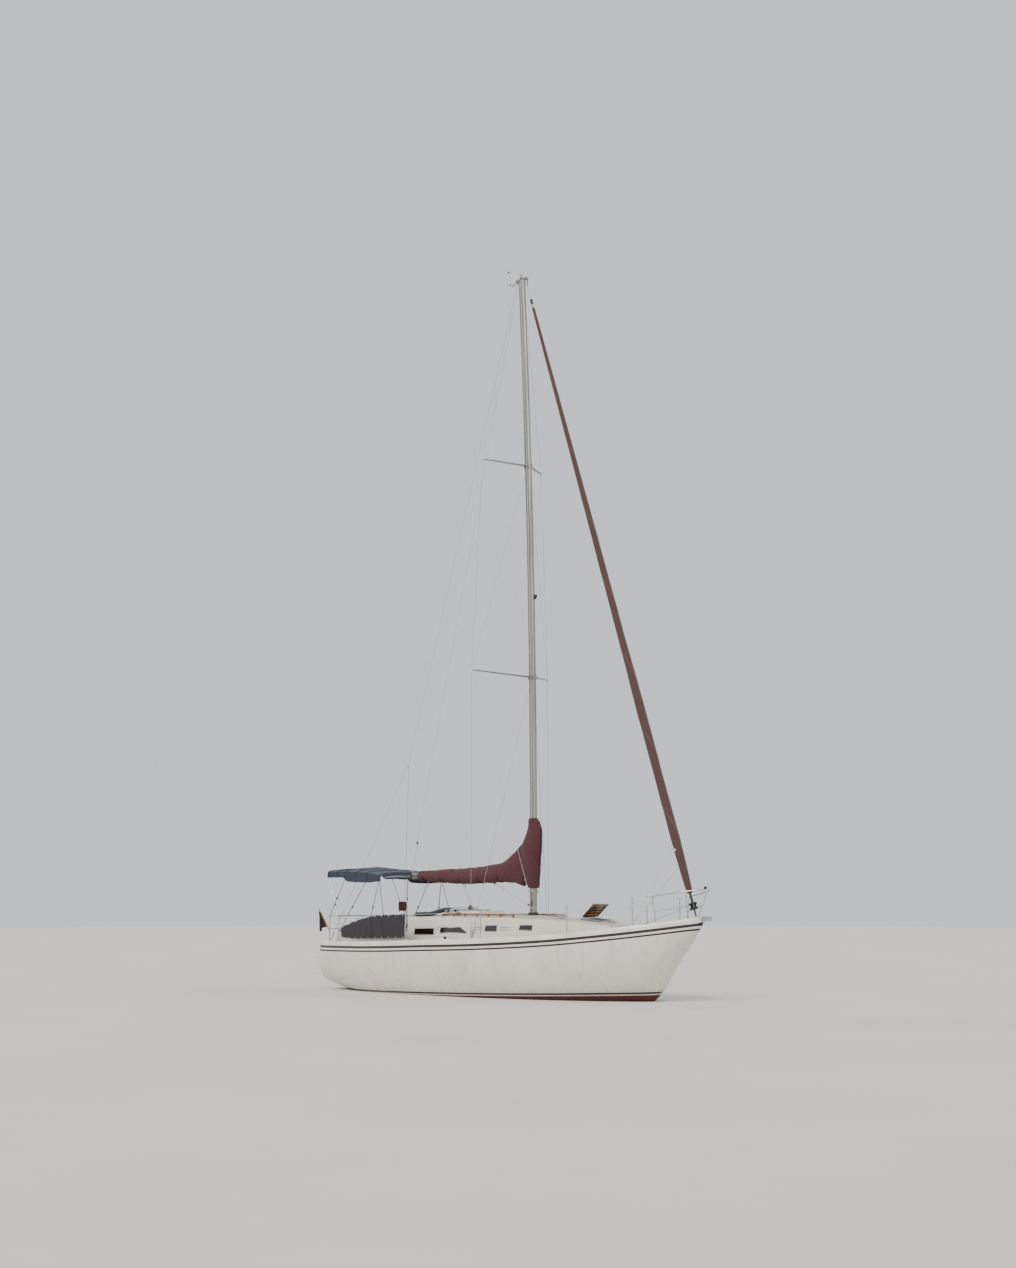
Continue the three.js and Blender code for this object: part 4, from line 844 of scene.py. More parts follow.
def build_hull():
    """The hull's skin in one smooth surface, with its painted lines."""
    columns, rows = 150, 36
    grid = []
    for row in range(rows + 1):
        turn = row / rows * math.pi / 2
        end = -4.9
        for _ in range(5):
            end = transom_x(hull_point(end, turn).z)
        grid.append([hull_point(5.49 + (end - 5.49) * c / columns, turn) for c in range(columns + 1)])
    skin = Shape()
    for side in (1, -1):
        skin.loft([[Vector((p.x, side * p.y, p.z)) for p in row] for row in grid], closed=False, caps=False)
    for column in (0, columns):
        edge = [row[column] for row in grid]
        skin.loft([[p, Vector((p.x, -p.y, p.z))] for p in edge], closed=False, caps=False)
    skin.uv["drop"] = [hull_lines(p.x)[1] - p.z for p in skin.points]
    skin.uv["boot"] = [p.z - boot_top(p.x) for p in skin.points]
    piece = skin.make("hull_topsides", [painted_hull()], smooth=50, ride=False)
    work = bmesh.new()
    work.from_mesh(piece.data)
    bmesh.ops.remove_doubles(work, verts=work.verts, dist=0.00001)
    bmesh.ops.recalc_face_normals(work, faces=work.faces)
    widest = max(work.verts, key=lambda v: v.co.y)
    if widest.normal.y < 0:
        bmesh.ops.reverse_faces(work, faces=work.faces)
    work.normal_update()
    moves = {v: v.normal * 0.0035 for v in work.verts}
    for v, move in moves.items():
        v.co += move
    work.to_mesh(piece.data)
    work.free()
    piece.data.set_sharp_from_angle(angle=math.radians(50))
    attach(piece, "yacht")


def build_rails():
    """Rolled toe rails along both edges, and the moulded cap across the transom."""
    for side, name in ((1, "port"), (-1, "starboard")):
        rail = Shape()
        rings = []
        for i in range(131):
            x = 5.44 + (-4.735 - 5.44) * i / 130
            half, sheer = hull_lines(x)[:2]
            half = max(half, 0.062)
            outline = [
                (0.006, -0.016), (0.009, 0.004), (0.007, 0.030), (0.001, 0.060), (-0.008, 0.086),
                (-0.018, 0.096), (-0.030, 0.095), (-0.040, 0.084), (-0.047, 0.062), (-0.050, 0.038),
                (-0.046, 0.020), (-0.004, -0.016),
            ]
            rings.append([Vector((x, side * (half + y), sheer + z)) for y, z in outline])
        rail.loft(rings)
        for x in (-3.4, -1.9, 0.2, 1.9, 3.4):
            half, sheer = hull_lines(x)[:2]
            rail.slab((x - 0.05, side * (half - 0.022) - 0.03, sheer + 0.088),
                      (x + 0.05, side * (half - 0.022) + 0.03, sheer + 0.0985), ease=0.004)
        rail.make(f"rolled_toe_rail_{name}", [white_gelcoat()], smooth=60,
                  stands_for=(f"toe_rail_{name}",))
    cap = Shape()
    width = hull_lines(-4.74)[0] - 0.02
    path = [(-4.735, y, 1.052 + 0.05 * (1 - (y / width) ** 2)) for y in
            [width * (k / 12 - 1) for k in range(25)]]
    cap.pipe(path, 0.024, wide=1.3, sides=14)
    for y in (-0.20, 0.20):
        cap.pipe([(transom_x(z) - 0.05, y, z) for z in (0.42, 0.70, 1.00)] + [(-4.78, y, 1.09)], 0.0125, 1)
        for z in (0.46, 0.98):
            cap.pipe([(transom_x(z) + 0.01, y, z), (transom_x(z) - 0.05, y, z)], 0.010, 1)
    for z in (0.48, 0.70, 0.92):
        x = transom_x(z) - 0.05
        cap.slab((x - 0.028, -0.19, z - 0.010), (x + 0.028, 0.19, z + 0.010), 2)
    outlet = (transom_x(0.36) + 0.004, -0.55, 0.36)
    cap.lathe([(0.046, 0), (0.046, 0.010), (0.036, 0.014), (0.030, 0.006), (0.030, -0.01)], outlet,
              (-0.937, 0, 0.348), 1)
    cap.make("transom_cap_and_ladder", [white_gelcoat(), polished_stainless(), oiled_teak()])


FOIL = [(0, 0), (0.012, 0.3), (0.04, 0.58), (0.12, 0.86), (0.22, 0.97), (0.32, 1), (0.45, 0.93), (0.6, 0.78),
        (0.8, 0.42), (1, 0.05)]


def foil_ring(lead, trail, half, lead_z, trail_z=None):
    """One level cut through a keel or rudder, round in front and fine behind."""
    trail_z = lead_z if trail_z is None else trail_z
    port = [Vector((lead + (trail - lead) * s, half * t, lead_z + (trail_z - lead_z) * s)) for s, t in FOIL]
    return port + [Vector((p.x, -p.y, p.z)) for p in reversed(port[1:])]


def build_underwater():
    """Keel and rudder with rounded foils, and the running gear's finishes."""
    keel = Shape()
    rows = smooth_table([
        (-0.38, 1.33, -1.18, 0.140), (-0.62, 1.18, -1.08, 0.125), (-1.40, 0.76, -0.96, 0.100),
        (-1.68, 0.66, -0.94, 0.110),
    ])
    keel.loft([foil_ring(*rows(z), z) for z in [-0.38 - 1.30 * k / 26 for k in range(27)]])
    keel.make("keel_fin", [ablative_antifouling()], stands_for=("keel",))
    blade = Shape()
    blade.loft([
        foil_ring(-3.85 - 0.05 * s, -4.44 + 0.14 * s, 0.036 - 0.014 * s, -0.155 - 1.325 * s,
                  -0.095 - 1.385 * s) for s in [i / 22 for i in range(23)]
    ])
    blade.pipe([(-4.01, 0, -0.32), (-4.01, 0, 0.30)], 0.029, 1, sides=20)
    blade.make("rudder_blade", [ablative_antifouling(), polished_stainless()], "rudder",
               ("rudder",))
    for node, material in (
        ("propeller", cast_bronze()), ("propeller_shaft", polished_stainless()),
        ("shaft_strut", cast_bronze()), ("engine", painted_iron()),
    ):
        dress(node, material)


def dress(node, material):
    """Gives a solid that is shown as it is its finished material."""
    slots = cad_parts[node].material_slots
    for slot in slots:
        slot.material = material


# Deck


def round_corners(corners, radius, steps=5):
    """A closed outline with its corners rounded, in the plane of the corners."""
    outline = []
    count = len(corners)
    for i, corner in enumerate(corners):
        corner = Vector(corner)
        before = (Vector(corners[i - 1]) - corner).normalized() * radius
        after = (Vector(corners[(i + 1) % count]) - corner).normalized() * radius
        for k in range(steps + 1):
            t = k / steps
            outline.append(corner + before * (1 - t) ** 2 + after * t**2)
    return outline


def window_outline(row, side, grow, out):
    """The rounded outline of a window on the coachroof's side."""
    aft, front, low, high, lean = row
    corners = [
        (aft - grow, low - grow), (front + grow, low - grow), (front - lean + grow, high + grow),
        (aft - grow, high + grow),
    ]
    points = [side_point(x, z, side, out) for x, z in round_corners(corners, 0.03)]
    return points if side < 0 else points[::-1]


def build_deck():
    """The deck moulding, its windows, tracks, cleats, clutches and vents."""
    eased_copy(
        ("deck_cockpit", "deck_middle", "deck_fore"), "deck_moulding", deck_gelcoat(), 0.009,
        partings=(-1.95, -1.9503, 2.4, 2.3997),
    )
    for node in ("hull_aft", "hull_middle", "hull_fore"):
        dress(node, white_gelcoat())
    for side, name in ((1, "port"), (-1, "starboard")):
        ports = Shape()
        for row in WINDOWS:
            ports.plate(window_outline(row, side, 0.010, 0.0035), 0.005, 0)
            ports.pipe(window_outline(row, side, 0.012, 0.007), 0.0075, 1, sides=8, closed=True)
        # Dark strips between the windows: painted shade in the moulded grooves of the coachroof side.
        for aft, front in ((-1.03, -0.95), (0.02, 0.38), (0.86, 1.28)):
            for z in (1.405, 1.452):
                ports.pipe([side_point(aft + (front - aft) * k / 12, z, side, 0.002) for k in range(13)],
                           0.0065, 2)
        ports.make(
            f"portlights_{name}", [smoked_acrylic(), anodised_aluminium(), black_rubber()]
        )
        gear = Shape()
        track = [(x, side * 1.40, deck_z(x, 1.40) + 0.012) for x in [0.55 - 2.35 * k / 24 for k in range(25)]]
        gear.pipe(track, 0.008, 1, wide=2.0)
        car = -0.45
        gear.slab((car - 0.06, side * 1.40 - 0.022, deck_z(car, 1.4) + 0.01),
                  (car + 0.06, side * 1.40 + 0.022, deck_z(car, 1.4) + 0.036), 1)
        gear.lathe([(0.032, -0.016), (0.036, -0.012), (0.026, 0), (0.036, 0.012), (0.032, 0.016)],
                   (car, side * 1.40, deck_z(car, 1.4) + 0.068), (0, 1, 0.2), 1)
        for x, y in ((4.50, 0.52), (-4.30, 1.20), (0.25, 1.62)):
            cleat(gear, x, side * y, deck_z(x, y))
        x, y, z = CHAINPLATE
        gear.slab((x - 0.055, side * y - 0.028, deck_z(x, y) - 0.002),
                  (x + 0.055, side * y + 0.028, deck_z(x, y) + 0.006), 0)
        for k, x in enumerate((-0.95, -0.87, -0.79)):
            clutch(gear, x, side * 0.62 + side * (k - 1) * 0.055, roof_z(x, 0.62))
        for k in range(3):
            y = side * (0.565 + 0.055 * k)
            lead = [(-0.72, y, roof_z(-0.72, y) + 0.030), (0.42, y * 0.82, roof_z(0.42, y * 0.82) + 0.028),
                    (0.72, side * (0.12 + 0.05 * k), roof_z(0.72, 0.2) + 0.040)]
            gear.pipe(lead, 0.005, 3 + k % 2, sides=6)
        gear.slab((0.36, side * 0.50 - 0.075, roof_z(0.4, 0.5) + 0.004),
                  (0.48, side * 0.50 + 0.075, roof_z(0.4, 0.5) + 0.040), 0)
        gear.make(
            f"deck_gear_{name}",
            [polished_stainless(), black_rubber(), white_nylon(), white_rope(),
             blue_rope()],
        )
    middle = Shape()
    middle.lathe([(0.15, -0.02), (0.15, 0.004), (0.125, 0.012), (0.112, 0.030), (0.108, 0.055)],
                 (MAST["x"], 0, roof_z(0.848, 0)), finish=1)
    for x, y in ((3.12, 0.0), (2.05, 0.42), (2.05, -0.42)):
        vent(middle, x, y, roof_z(x, y))
    track = [(-1.12, y, 1.842) for y in [-0.60 + 0.10 * k for k in range(13)]]
    middle.pipe(track, 0.013, 0, wide=1.6)
    for y in (-0.58, 0.58):
        middle.slab((-1.16, y - 0.03, roof_z(-1.12, y) - 0.004), (-1.08, y + 0.03, 1.836), 0)
    middle.slab((-1.165, -0.05, 1.848), (-1.075, 0.05, 1.884), 1)
    middle.slab((1.30, -0.11, roof_z(1.5, 0.1) - 0.001), (1.76, 0.11, roof_z(1.5, 0.1) + 0.030), 0,
                ease=0.008)
    middle.slab((1.325, -0.085, roof_z(1.5, 0.1) + 0.02), (1.735, 0.085, roof_z(1.5, 0.1) + 0.034), 3,
                ease=0.006)
    middle.make(
        "coachroof_fittings", [polished_stainless(), black_rubber(), white_nylon(), smoked_acrylic()],
    )


def cleat(shape, x, y, z):
    """A mooring cleat: two feet and a bar with long horns."""
    shape.pipe(catmull([(x - 0.11, y, z + 0.052), (x - 0.05, y, z + 0.044), (x + 0.05, y, z + 0.044),
                        (x + 0.11, y, z + 0.052)]), 0.010, 0)
    for dx in (-0.03, 0.03):
        shape.lathe([(0.022, -0.002), (0.022, 0.006), (0.012, 0.014), (0.012, 0.044)], (x + dx, y, z))


def clutch(shape, x, y, z):
    """A rope clutch with its lever down."""
    shape.slab((x - 0.062, y - 0.020, z + 0.001), (x + 0.062, y + 0.020, z + 0.046), 1, ease=0.006)
    shape.pipe(catmull([(x + 0.05, y, z + 0.05), (x, y, z + 0.062), (x - 0.075, y, z + 0.055)]), 0.008,
               1, wide=1.6)


def vent(shape, x, y, z):
    """A mushroom vent."""
    shape.lathe(
        [(0.075, -0.004), (0.075, 0.008), (0.05, 0.012), (0.05, 0.030), (0.084, 0.032), (0.086, 0.040),
         (0.06, 0.056), (0.02, 0.064), (0.0, 0.065)],
        (x, y, z),
    )


def build_hatches():
    """Forehatch, anchor locker lid, sliding hatch, washboards and cockpit locker lids."""
    eased_copy(("forehatch_frame",), "forehatch_coaming", anodised_aluminium(), 0.004)
    place = Matrix.Translation(FOREHATCH_HINGE) @ Matrix.Rotation(FOREHATCH_TURN, 4, "Y")
    lid = Shape()
    for low, high in (
        ((0.016, -0.245, -0.009), (0.050, 0.245, 0.011)), ((0.396, -0.245, -0.009), (0.430, 0.245, 0.011)),
        ((0.030, -0.245, -0.009), (0.416, -0.211, 0.011)), ((0.030, 0.211, -0.009), (0.416, 0.245, 0.011)),
    ):
        lid.slab(low, high, 0, ease=0.004, place=place)
    lid.slab((0.046, -0.215, -0.005), (0.400, 0.215, 0.006), 1, ease=0.002, place=place)
    # Three dark strips across the lid, on both faces: painted shadow bands on the clear sheet.
    for x in (0.120, 0.205, 0.290):
        lid.slab((x, -0.213, -0.0095), (x + 0.030, 0.213, -0.004), 2, ease=0.0015, place=place)
        lid.slab((x, -0.213, 0.005), (x + 0.030, 0.213, 0.0095), 2, ease=0.0015, place=place)
    for y in (-0.13, 0.13):
        lid.slab((-0.006, y - 0.045, -0.008), (0.024, y + 0.045, 0.008), 0, place=place)
        lid.lathe([(0.014, 0), (0.014, 0.012), (0.008, 0.014)], (0.375, y, -0.008), (0, 0, -1), 2,
                  place=place)
        lid.slab((0.325, y - 0.008, -0.030), (0.385, y + 0.008, -0.020), 2, place=place)
    lid.pipe([(0, -0.184, 0), (0, 0.184, 0)], 0.009, 0, place=place)
    # The lid's amber sheet is painted sunset glow.
    lid.make("forehatch_sunset_glow_lid", [anodised_aluminium(), sunset_glow_acrylic(), black_rubber()], "forehatch_lid",
             ("forehatch_lid",))
    eased_copy(("anchor_locker_lid",), "anchor_locker_cover", deck_gelcoat(), 0.005, "anchor_locker_lid")
    for side, name in ((1, "port"), (-1, "starboard")):
        body = f"cockpit_locker_lid_{name}"
        eased_copy((body,), f"cockpit_locker_cover_{name}", white_gelcoat(), 0.004, body)
        slats = Shape()
        for k in range(6):
            y = side * (0.505 + 0.064 * k)
            slats.slab((-3.30, min(y, y + side * 0.052), 0.9545),
                       (-2.30, max(y, y + side * 0.052), 0.9625), 0)
        slats.make(f"locker_slats_{name}", [oiled_teak()], body)
    hatch = Shape()
    hatch.slab((-2.02, -0.33, 1.752), (-1.20, 0.33, 1.774), 0, ease=0.006)
    hatch.slab((-1.94, -0.26, 1.773), (-1.28, 0.26, 1.779), 1, ease=0.003)
    hatch.pipe(catmull([(-1.99, -0.10, 1.774), (-1.99, -0.09, 1.800), (-1.99, 0.09, 1.800),
                        (-1.99, 0.10, 1.774)]), 0.007, 2)
    hatch.make("companionway_slider", [white_gelcoat(), smoked_acrylic(), polished_stainless()],
               "companionway_hatch", ("companionway_hatch",))
    boards = Shape()
    for low, high in ((1.0003, 1.245), (1.248, 1.495), (1.498, 1.744)):
        boards.slab((-1.992, -0.2997, low), (-1.972, 0.2997, high), 0, ease=0.003)
    boards.slab((-1.995, -0.04, 1.50), (-1.991, 0.04, 1.56), 1)
    boards.make("washboards", [oiled_teak(across=True), polished_stainless()],
                stands_for=("washboard",))


# Cockpit


def winch(shape, x, y, z, scale, base=0.0):
    """A self-tailing winch: skirt, ribbed drum, feeder arm and jaws."""
    profile = [
        (0.074, -base / scale if base else 0.0), (0.078, 0.004), (0.078, 0.012), (0.071, 0.020),
        (0.061, 0.030), (0.053, 0.046), (0.0505, 0.062), (0.050, 0.090), (0.0525, 0.104), (0.060, 0.114),
        (0.066, 0.119), (0.066, 0.124), (0.052, 0.128), (0.052, 0.132), (0.066, 0.136), (0.066, 0.142),
        (0.040, 0.149), (0.016, 0.150), (0.014, 0.146), (0.0, 0.146),
    ]
    shape.lathe([(r * scale, h * scale) for r, h in profile], (x, y, z), finish=0, sides=36)
    for k in range(18):
        angle = 2 * math.pi * k / 18
        dx, dy = math.cos(angle), math.sin(angle)
        shape.pipe(
            [(x + dx * 0.0555 * scale, y + dy * 0.0555 * scale, z + 0.044 * scale),
             (x + dx * 0.0510 * scale, y + dy * 0.0510 * scale, z + 0.075 * scale),
             (x + dx * 0.0535 * scale, y + dy * 0.0535 * scale, z + 0.103 * scale)],
            0.0026 * scale, 0, sides=5,
        )
    shape.slab((x + 0.045 * scale, y - 0.012 * scale, z + 0.122 * scale),
               (x + 0.074 * scale, y + 0.012 * scale, z + 0.140 * scale), 1)


def build_cockpit():
    """Winches, seat slats, grating, pedestal with its guard, wheel and handrails."""
    for side, name in ((1, "port"), (-1, "starboard")):
        primary = Shape()
        winch(primary, -2.65, side * 1.03, COCKPIT["coaming"] + 0.0005, 1.0)
        primary.make(f"winch_primary_{name}", [polished_stainless(), black_rubber()],
                     stands_for=(f"primary_winch_{name}",))
        roof = Shape()
        roof.slab((-1.30, side * 0.62 - 0.05, 1.686), (-1.20, side * 0.62 + 0.05, 1.716), 1, ease=0.006)
        winch(roof, -1.25, side * 0.62, 1.714, 0.77)
        roof.make(f"winch_roof_{name}", [polished_stainless(), black_rubber()],
                  stands_for=(f"roof_winch_{name}",))
        seats = Shape()
        for k in range(8):
            y = side * (0.432 + 0.064 * k)
            edge = (min(y, y + side * 0.052), max(y, y + side * 0.052))
            seats.slab((-4.44, edge[0], 0.9305), (-3.36, edge[1], 0.9385), 0)
            seats.slab((-2.25, edge[0], 0.9305), (-2.03, edge[1], 0.9385), 0)
        seats.make(f"seat_slats_{name}", [oiled_teak()])
    sole = Shape()
    for k in range(12):
        y = -0.372 + 0.0635 * k
        sole.slab((-4.26, y, 0.4803), (-2.06, y + 0.048, 0.494), 0)
    for x in (-4.2, -3.85, -3.15, -2.65, -2.15):
        sole.slab((x, -0.372, 0.4800), (x + 0.05, 0.372, 0.490), 0)
    cut_round(sole.make("cockpit_grating", [oiled_teak()]), (-3.56, 0, 0.3),
              (-3.56, 0, 0.7), 0.14)
    eased_copy(("steering_pedestal",), "steering_column", white_gelcoat(), 0.004)
    binnacle = Shape()
    binnacle.lathe([(0.094, -0.006), (0.098, 0.01), (0.098, 0.045), (0.088, 0.055), (0.0, 0.056)],
                   (-3.56, 0, 1.402), finish=1)
    binnacle.lathe([(0.084, 0), (0.080, 0.028), (0.064, 0.052), (0.036, 0.068), (0.0, 0.073)],
                   (-3.56, 0, 1.456), finish=2)
    guard = mirrored([(-3.42, 0.15, 0.482), (-3.42, 0.15, 1.20), (-3.42, 0.15, 1.68), (-3.42, 0.10, 1.80),
                      (-3.42, 0.03, 1.815)])
    binnacle.pipe(catmull(guard, 5), 0.0125, 0)
    for y in (-0.15, 0.15):
        binnacle.lathe([(0.034, 0), (0.034, 0.006), (0.016, 0.012)], (-3.42, y, 0.4805))
        binnacle.pipe([(-3.42, y, 1.18), (-3.50, y * 0.6, 1.18)], 0.008, 0)
    binnacle.lathe([(0.012, 0), (0.012, 0.03), (0.016, 0.035), (0.016, 0.05)], (-3.56, -0.108, 1.33),
                   (0, -1, 0), 1)
    binnacle.pipe([(-3.56, -0.155, 1.33), (-3.53, -0.155, 1.42)], 0.006, 0)
    binnacle.make("binnacle_and_guard", [polished_stainless(), black_rubber(), smoked_acrylic()])
    pod = Shape()
    rings = []
    for k in range(15):
        t = k / 14
        swell = 1 - 0.16 * (2 * t - 1) ** 4
        z = 1.806 + 0.215 * t
        corners = [(0.055 * swell, 0.092 * swell), (-0.055 * swell, 0.092 * swell),
                   (-0.055 * swell, -0.092 * swell), (0.055 * swell, -0.092 * swell)]
        rings.append([
            (-3.42 + x * (1 + 0.05 * math.sin(9 * t + 3 * i)), y, z)
            for i, (x, y) in enumerate(round_corners(corners, 0.03))
        ])
    pod.loft(rings)
    pod.make("instrument_cover", [maroon_canvas()], smooth=70)
    wheel = Shape()
    centre = Vector((-3.72, 0, 1.2903))
    rim = [centre + Vector((0, 0.42 * math.sin(a), 0.42 * math.cos(a)))
           for a in [2 * math.pi * k / 64 for k in range(64)]]
    wheel.pipe(rim, 0.013, 1, closed=True, sides=12)
    for k in range(5):
        angle = (k + 0.5) / 5 * 2 * math.pi
        out = Vector((0, math.sin(angle), math.cos(angle)))
        wheel.pipe([centre, centre + out * 0.20 + Vector((0.012, 0, 0)), centre + out * 0.412], 0.007, 0)
    for k in range(32):
        at = 2 * math.pi * k / 32
        spot = centre + Vector((0, 0.42 * math.sin(at), 0.42 * math.cos(at)))
        turned = Vector((0, math.cos(at), -math.sin(at)))
        wheel.pipe([spot - turned * 0.0012, spot + turned * 0.0012], 0.0137, 0 if k % 8 == 4 else 1, sides=12)
    hub = [(0.020, -0.026), (0.045, -0.020), (0.045, 0.018), (0.038, 0.024), (0.018, 0.026)]
    wheel.lathe(hub, centre, (1, 0, 0), 0)
    wheel.make("destroyer_wheel", [polished_stainless(), black_rubber()], "steering_wheel",
               ("steering_wheel",))
    grabs = {1: "port", -1: "starboard"}
    for side, name in grabs.items():
        rail = Shape()
        path = []
        for k in range(49):
            x = -1.05 + 2.076 * k / 48
            phase = (x + 1.05) / 0.346
            rise = 0.064 + 0.004 * math.cos(2 * math.pi * phase)
            path.append((x, side * roof_chords(x)[1] * 0.86, roof_chords(x)[2] + rise))
        rail.pipe(path, 0.0155, 0, wide=1.15)
        for k in range(7):
            x = -1.05 + 0.346 * k
            y, z = side * roof_chords(x)[1] * 0.86, roof_chords(x)[2]
            rings = [
                [(x - w, y - 0.012, h), (x + w, y - 0.012, h), (x + w, y + 0.012, h), (x - w, y + 0.012, h)]
                for w, h in ((0.036, z - 0.004), (0.030, z + 0.020), (0.024, z + 0.036), (0.034, z + 0.062))
            ]
            rail.loft(rings)
        rail.make(f"handrail_{name}", [oiled_teak()], stands_for=(f"grab_rail_{name}",))


def cut_round(piece, low, high, radius):
    """Cuts a round hole through a piece, along a line between two points."""
    tool = Shape().pipe([low, high], radius, sides=32)
    mesh = bpy.data.meshes.new("tool")
    mesh.from_pydata([tuple(p) for p in tool.points], [], tool.faces)
    work = bmesh.new()
    work.from_mesh(mesh)
    bmesh.ops.recalc_face_normals(work, faces=work.faces)
    work.to_mesh(mesh)
    work.free()
    cutter = bpy.data.objects.new("tool", mesh)
    bpy.context.collection.objects.link(cutter)
    hole = piece.modifiers.new("hole", "BOOLEAN")
    hole.operation = "DIFFERENCE"
    hole.solver = "EXACT"
    hole.object = cutter
    apply_modifiers(piece)
    bpy.data.objects.remove(cutter)
    return piece


# Spars and rigging


def build_mast():
    """The bowed mast section with its fittings, crane, lamp and vane, and the spreaders."""
    mast = Shape()
    levels = [1.7055 + (MAST["top"] - 1.7055) * k / 60 for k in range(61)]
    rings = []
    for z in levels:
        ring = []
        for k in range(32):
            angle = 2 * math.pi * k / 32
            pinch = 1 - 0.05 * (1 + math.cos(angle)) / 2
            ring.append((mast_x(z) + MAST["chord"] * math.cos(angle),
                         MAST["half"] * pinch * math.sin(angle), z))
        rings.append(ring)
    mast.loft(rings)
    mast.pipe([(mast_x(z) - MAST["chord"] - 0.001, 0, z) for z in levels[3:]], 0.006, 1, wide=1.8, sides=8)
    for name, z, reach, sweep, lift, chord in SPREADERS:
        root = mast_x(z)
        for side in (1, -1):
            mast.slab((root - 0.075, side * 0.060 - 0.012, z - 0.045),
                      (root + 0.075, side * 0.060 + 0.012, z + 0.045),
                      0, ease=0.008)
    for side in (1, -1):
        mast.lathe([(0.036, -0.012), (0.036, 0.006), (0.028, 0.014), (0.026, 0.055), (0.034, 0.066),
                    (0.030, 0.074), (0, 0.075)], (mast_x(2.22), side * 0.056, 2.22), (0, side, 0),
                    1, sides=20)
        cleat_path = [(mast_x(2.0) + 0.01, side * 0.083, 1.90), (mast_x(2.0) + 0.01, side * 0.078, 1.97),
                      (mast_x(2.0) + 0.01, side * 0.083, 2.04)]
        mast.pipe(catmull(cleat_path), 0.007, 2)
        mast.pipe([(mast_x(2.0) + 0.01, side * 0.055, 1.97), (mast_x(2.0) + 0.01, side * 0.080, 1.97)], 0.009,
                  2)
    x, z = GOOSENECK
    for rise in (0.060, -0.072):
        mast.slab((x - 0.014, -0.022, z + rise), (x + 0.072, 0.022, z + rise + 0.012), 1)
    mast.pipe([(x, 0, z - 0.078), (x, 0, z + 0.078)], 0.008, 1)
    mast.lathe([(0.014, 0), (0.014, 0.010), (0.006, 0.012)], (x, 0, z + 0.072), finish=1)
    front = mast_x(8.71) + MAST["chord"]
    mast.slab((front - 0.004, -0.018, 8.66), (front + 0.05, 0.018, 8.69), 2)
    mast.lathe([(0.030, 0), (0.034, 0.01), (0.034, 0.055), (0.026, 0.066), (0, 0.070)],
               (front + 0.038, 0, 8.69), finish=2)
    mast.slab((mast_x(1.92) - 0.16, -0.014, 1.90), (mast_x(1.92) - 0.085, 0.014, 1.93), 1)
    mast.make("mast_extrusion", [anodised_aluminium(), polished_stainless(), black_rubber()],
              stands_for=("mast",))
    eased_copy(("masthead_crane",), "masthead_fitting", anodised_aluminium(), 0.003)
    top = Shape()
    top.lathe([(0.040, 0), (0.040, 0.012), (0.034, 0.020), (0.034, 0.085), (0.030, 0.096), (0, 0.100)],
              (0.51, 0, 16.256), finish=1)
    top.pipe([(0.170, 0, 16.40), (0.170, 0, 16.535)], 0.004, 0, sides=6)
    for k in range(3):
        angle = 2 * math.pi * k / 3
        tip = (0.215 + 0.055 * math.cos(angle), 0.055 * math.sin(angle), 16.175)
        top.pipe([(0.215, 0, 16.175), tip], 0.003, 0, sides=6)
        top.lathe([(0.004, -0.014), (0.015, -0.008), (0.019, 0.006), (0.012, 0.004)], tip,
                  (-math.sin(angle), math.cos(angle), 0), 2, sides=12)
    top.slab((0.06, -0.002, 16.515), (0.125, 0.002, 16.545), 2, ease=0.0005)
    top.pipe([(0.125, 0, 16.53), (0.24, 0, 16.53)], 0.0025, 0, sides=6)
    top.make("masthead_lamp_and_vane",
             [polished_stainless(), lamp_lens("lens_red", "#7a1f1c"), black_rubber()])
    for name, z, reach, sweep, lift, chord in SPREADERS:
        for side, hand in ((1, "port"), (-1, "starboard")):
            arm = Shape()
            rings = []
            for k in range(13):
                t = k / 12
                width = chord * (1 - 0.45 * t)
                thick = 0.036 - 0.014 * t
                y = side * (0.058 + (reach - 0.0115 - 0.058) * t)
                middle = Vector((mast_x(z) - sweep * t, y, z + lift * t))
                rings.append([
                    middle + Vector((width / 2 * math.cos(a), 0, thick / 2 * math.sin(a)))
                    for a in [2 * math.pi * i / 20 for i in range(20)]
                ])
            arm.loft(rings)
            tip = Vector((mast_x(z) - sweep, side * (reach - 0.010), z + lift))
            arm.lathe([(0.010, -0.05), (0.019, -0.038), (0.024, 0), (0.019, 0.038), (0.010, 0.05)], tip,
                      (0, 0, 1), 1, sides=16)
            arm.make(f"spreader_{name}_{hand}", [anodised_aluminium(), white_nylon()],
                     stands_for=(f"{name}_spreader_{hand}",))


def bottle(shape, low, high, start, finish=0):
    """A closed rigging screw on a wire, from start metres above its foot."""
    low, high = Vector(low), Vector(high)
    along = (high - low).normalized()
    shape.lathe(
        [(0.007, 0), (0.007, 0.02), (0.0105, 0.024), (0.0105, 0.046), (0.0135, 0.05), (0.0135, 0.20),
         (0.0105, 0.204), (0.0105, 0.226), (0.0065, 0.23), (0.0065, 0.31), (0.0045, 0.33)],
        low + along * start, along, finish, sides=14,
    )
    shape.slab((low.x - 0.012, low.y - 0.008, low.z - 0.012),
               (low.x + 0.012, low.y + 0.008, low.z + 0.03), finish)


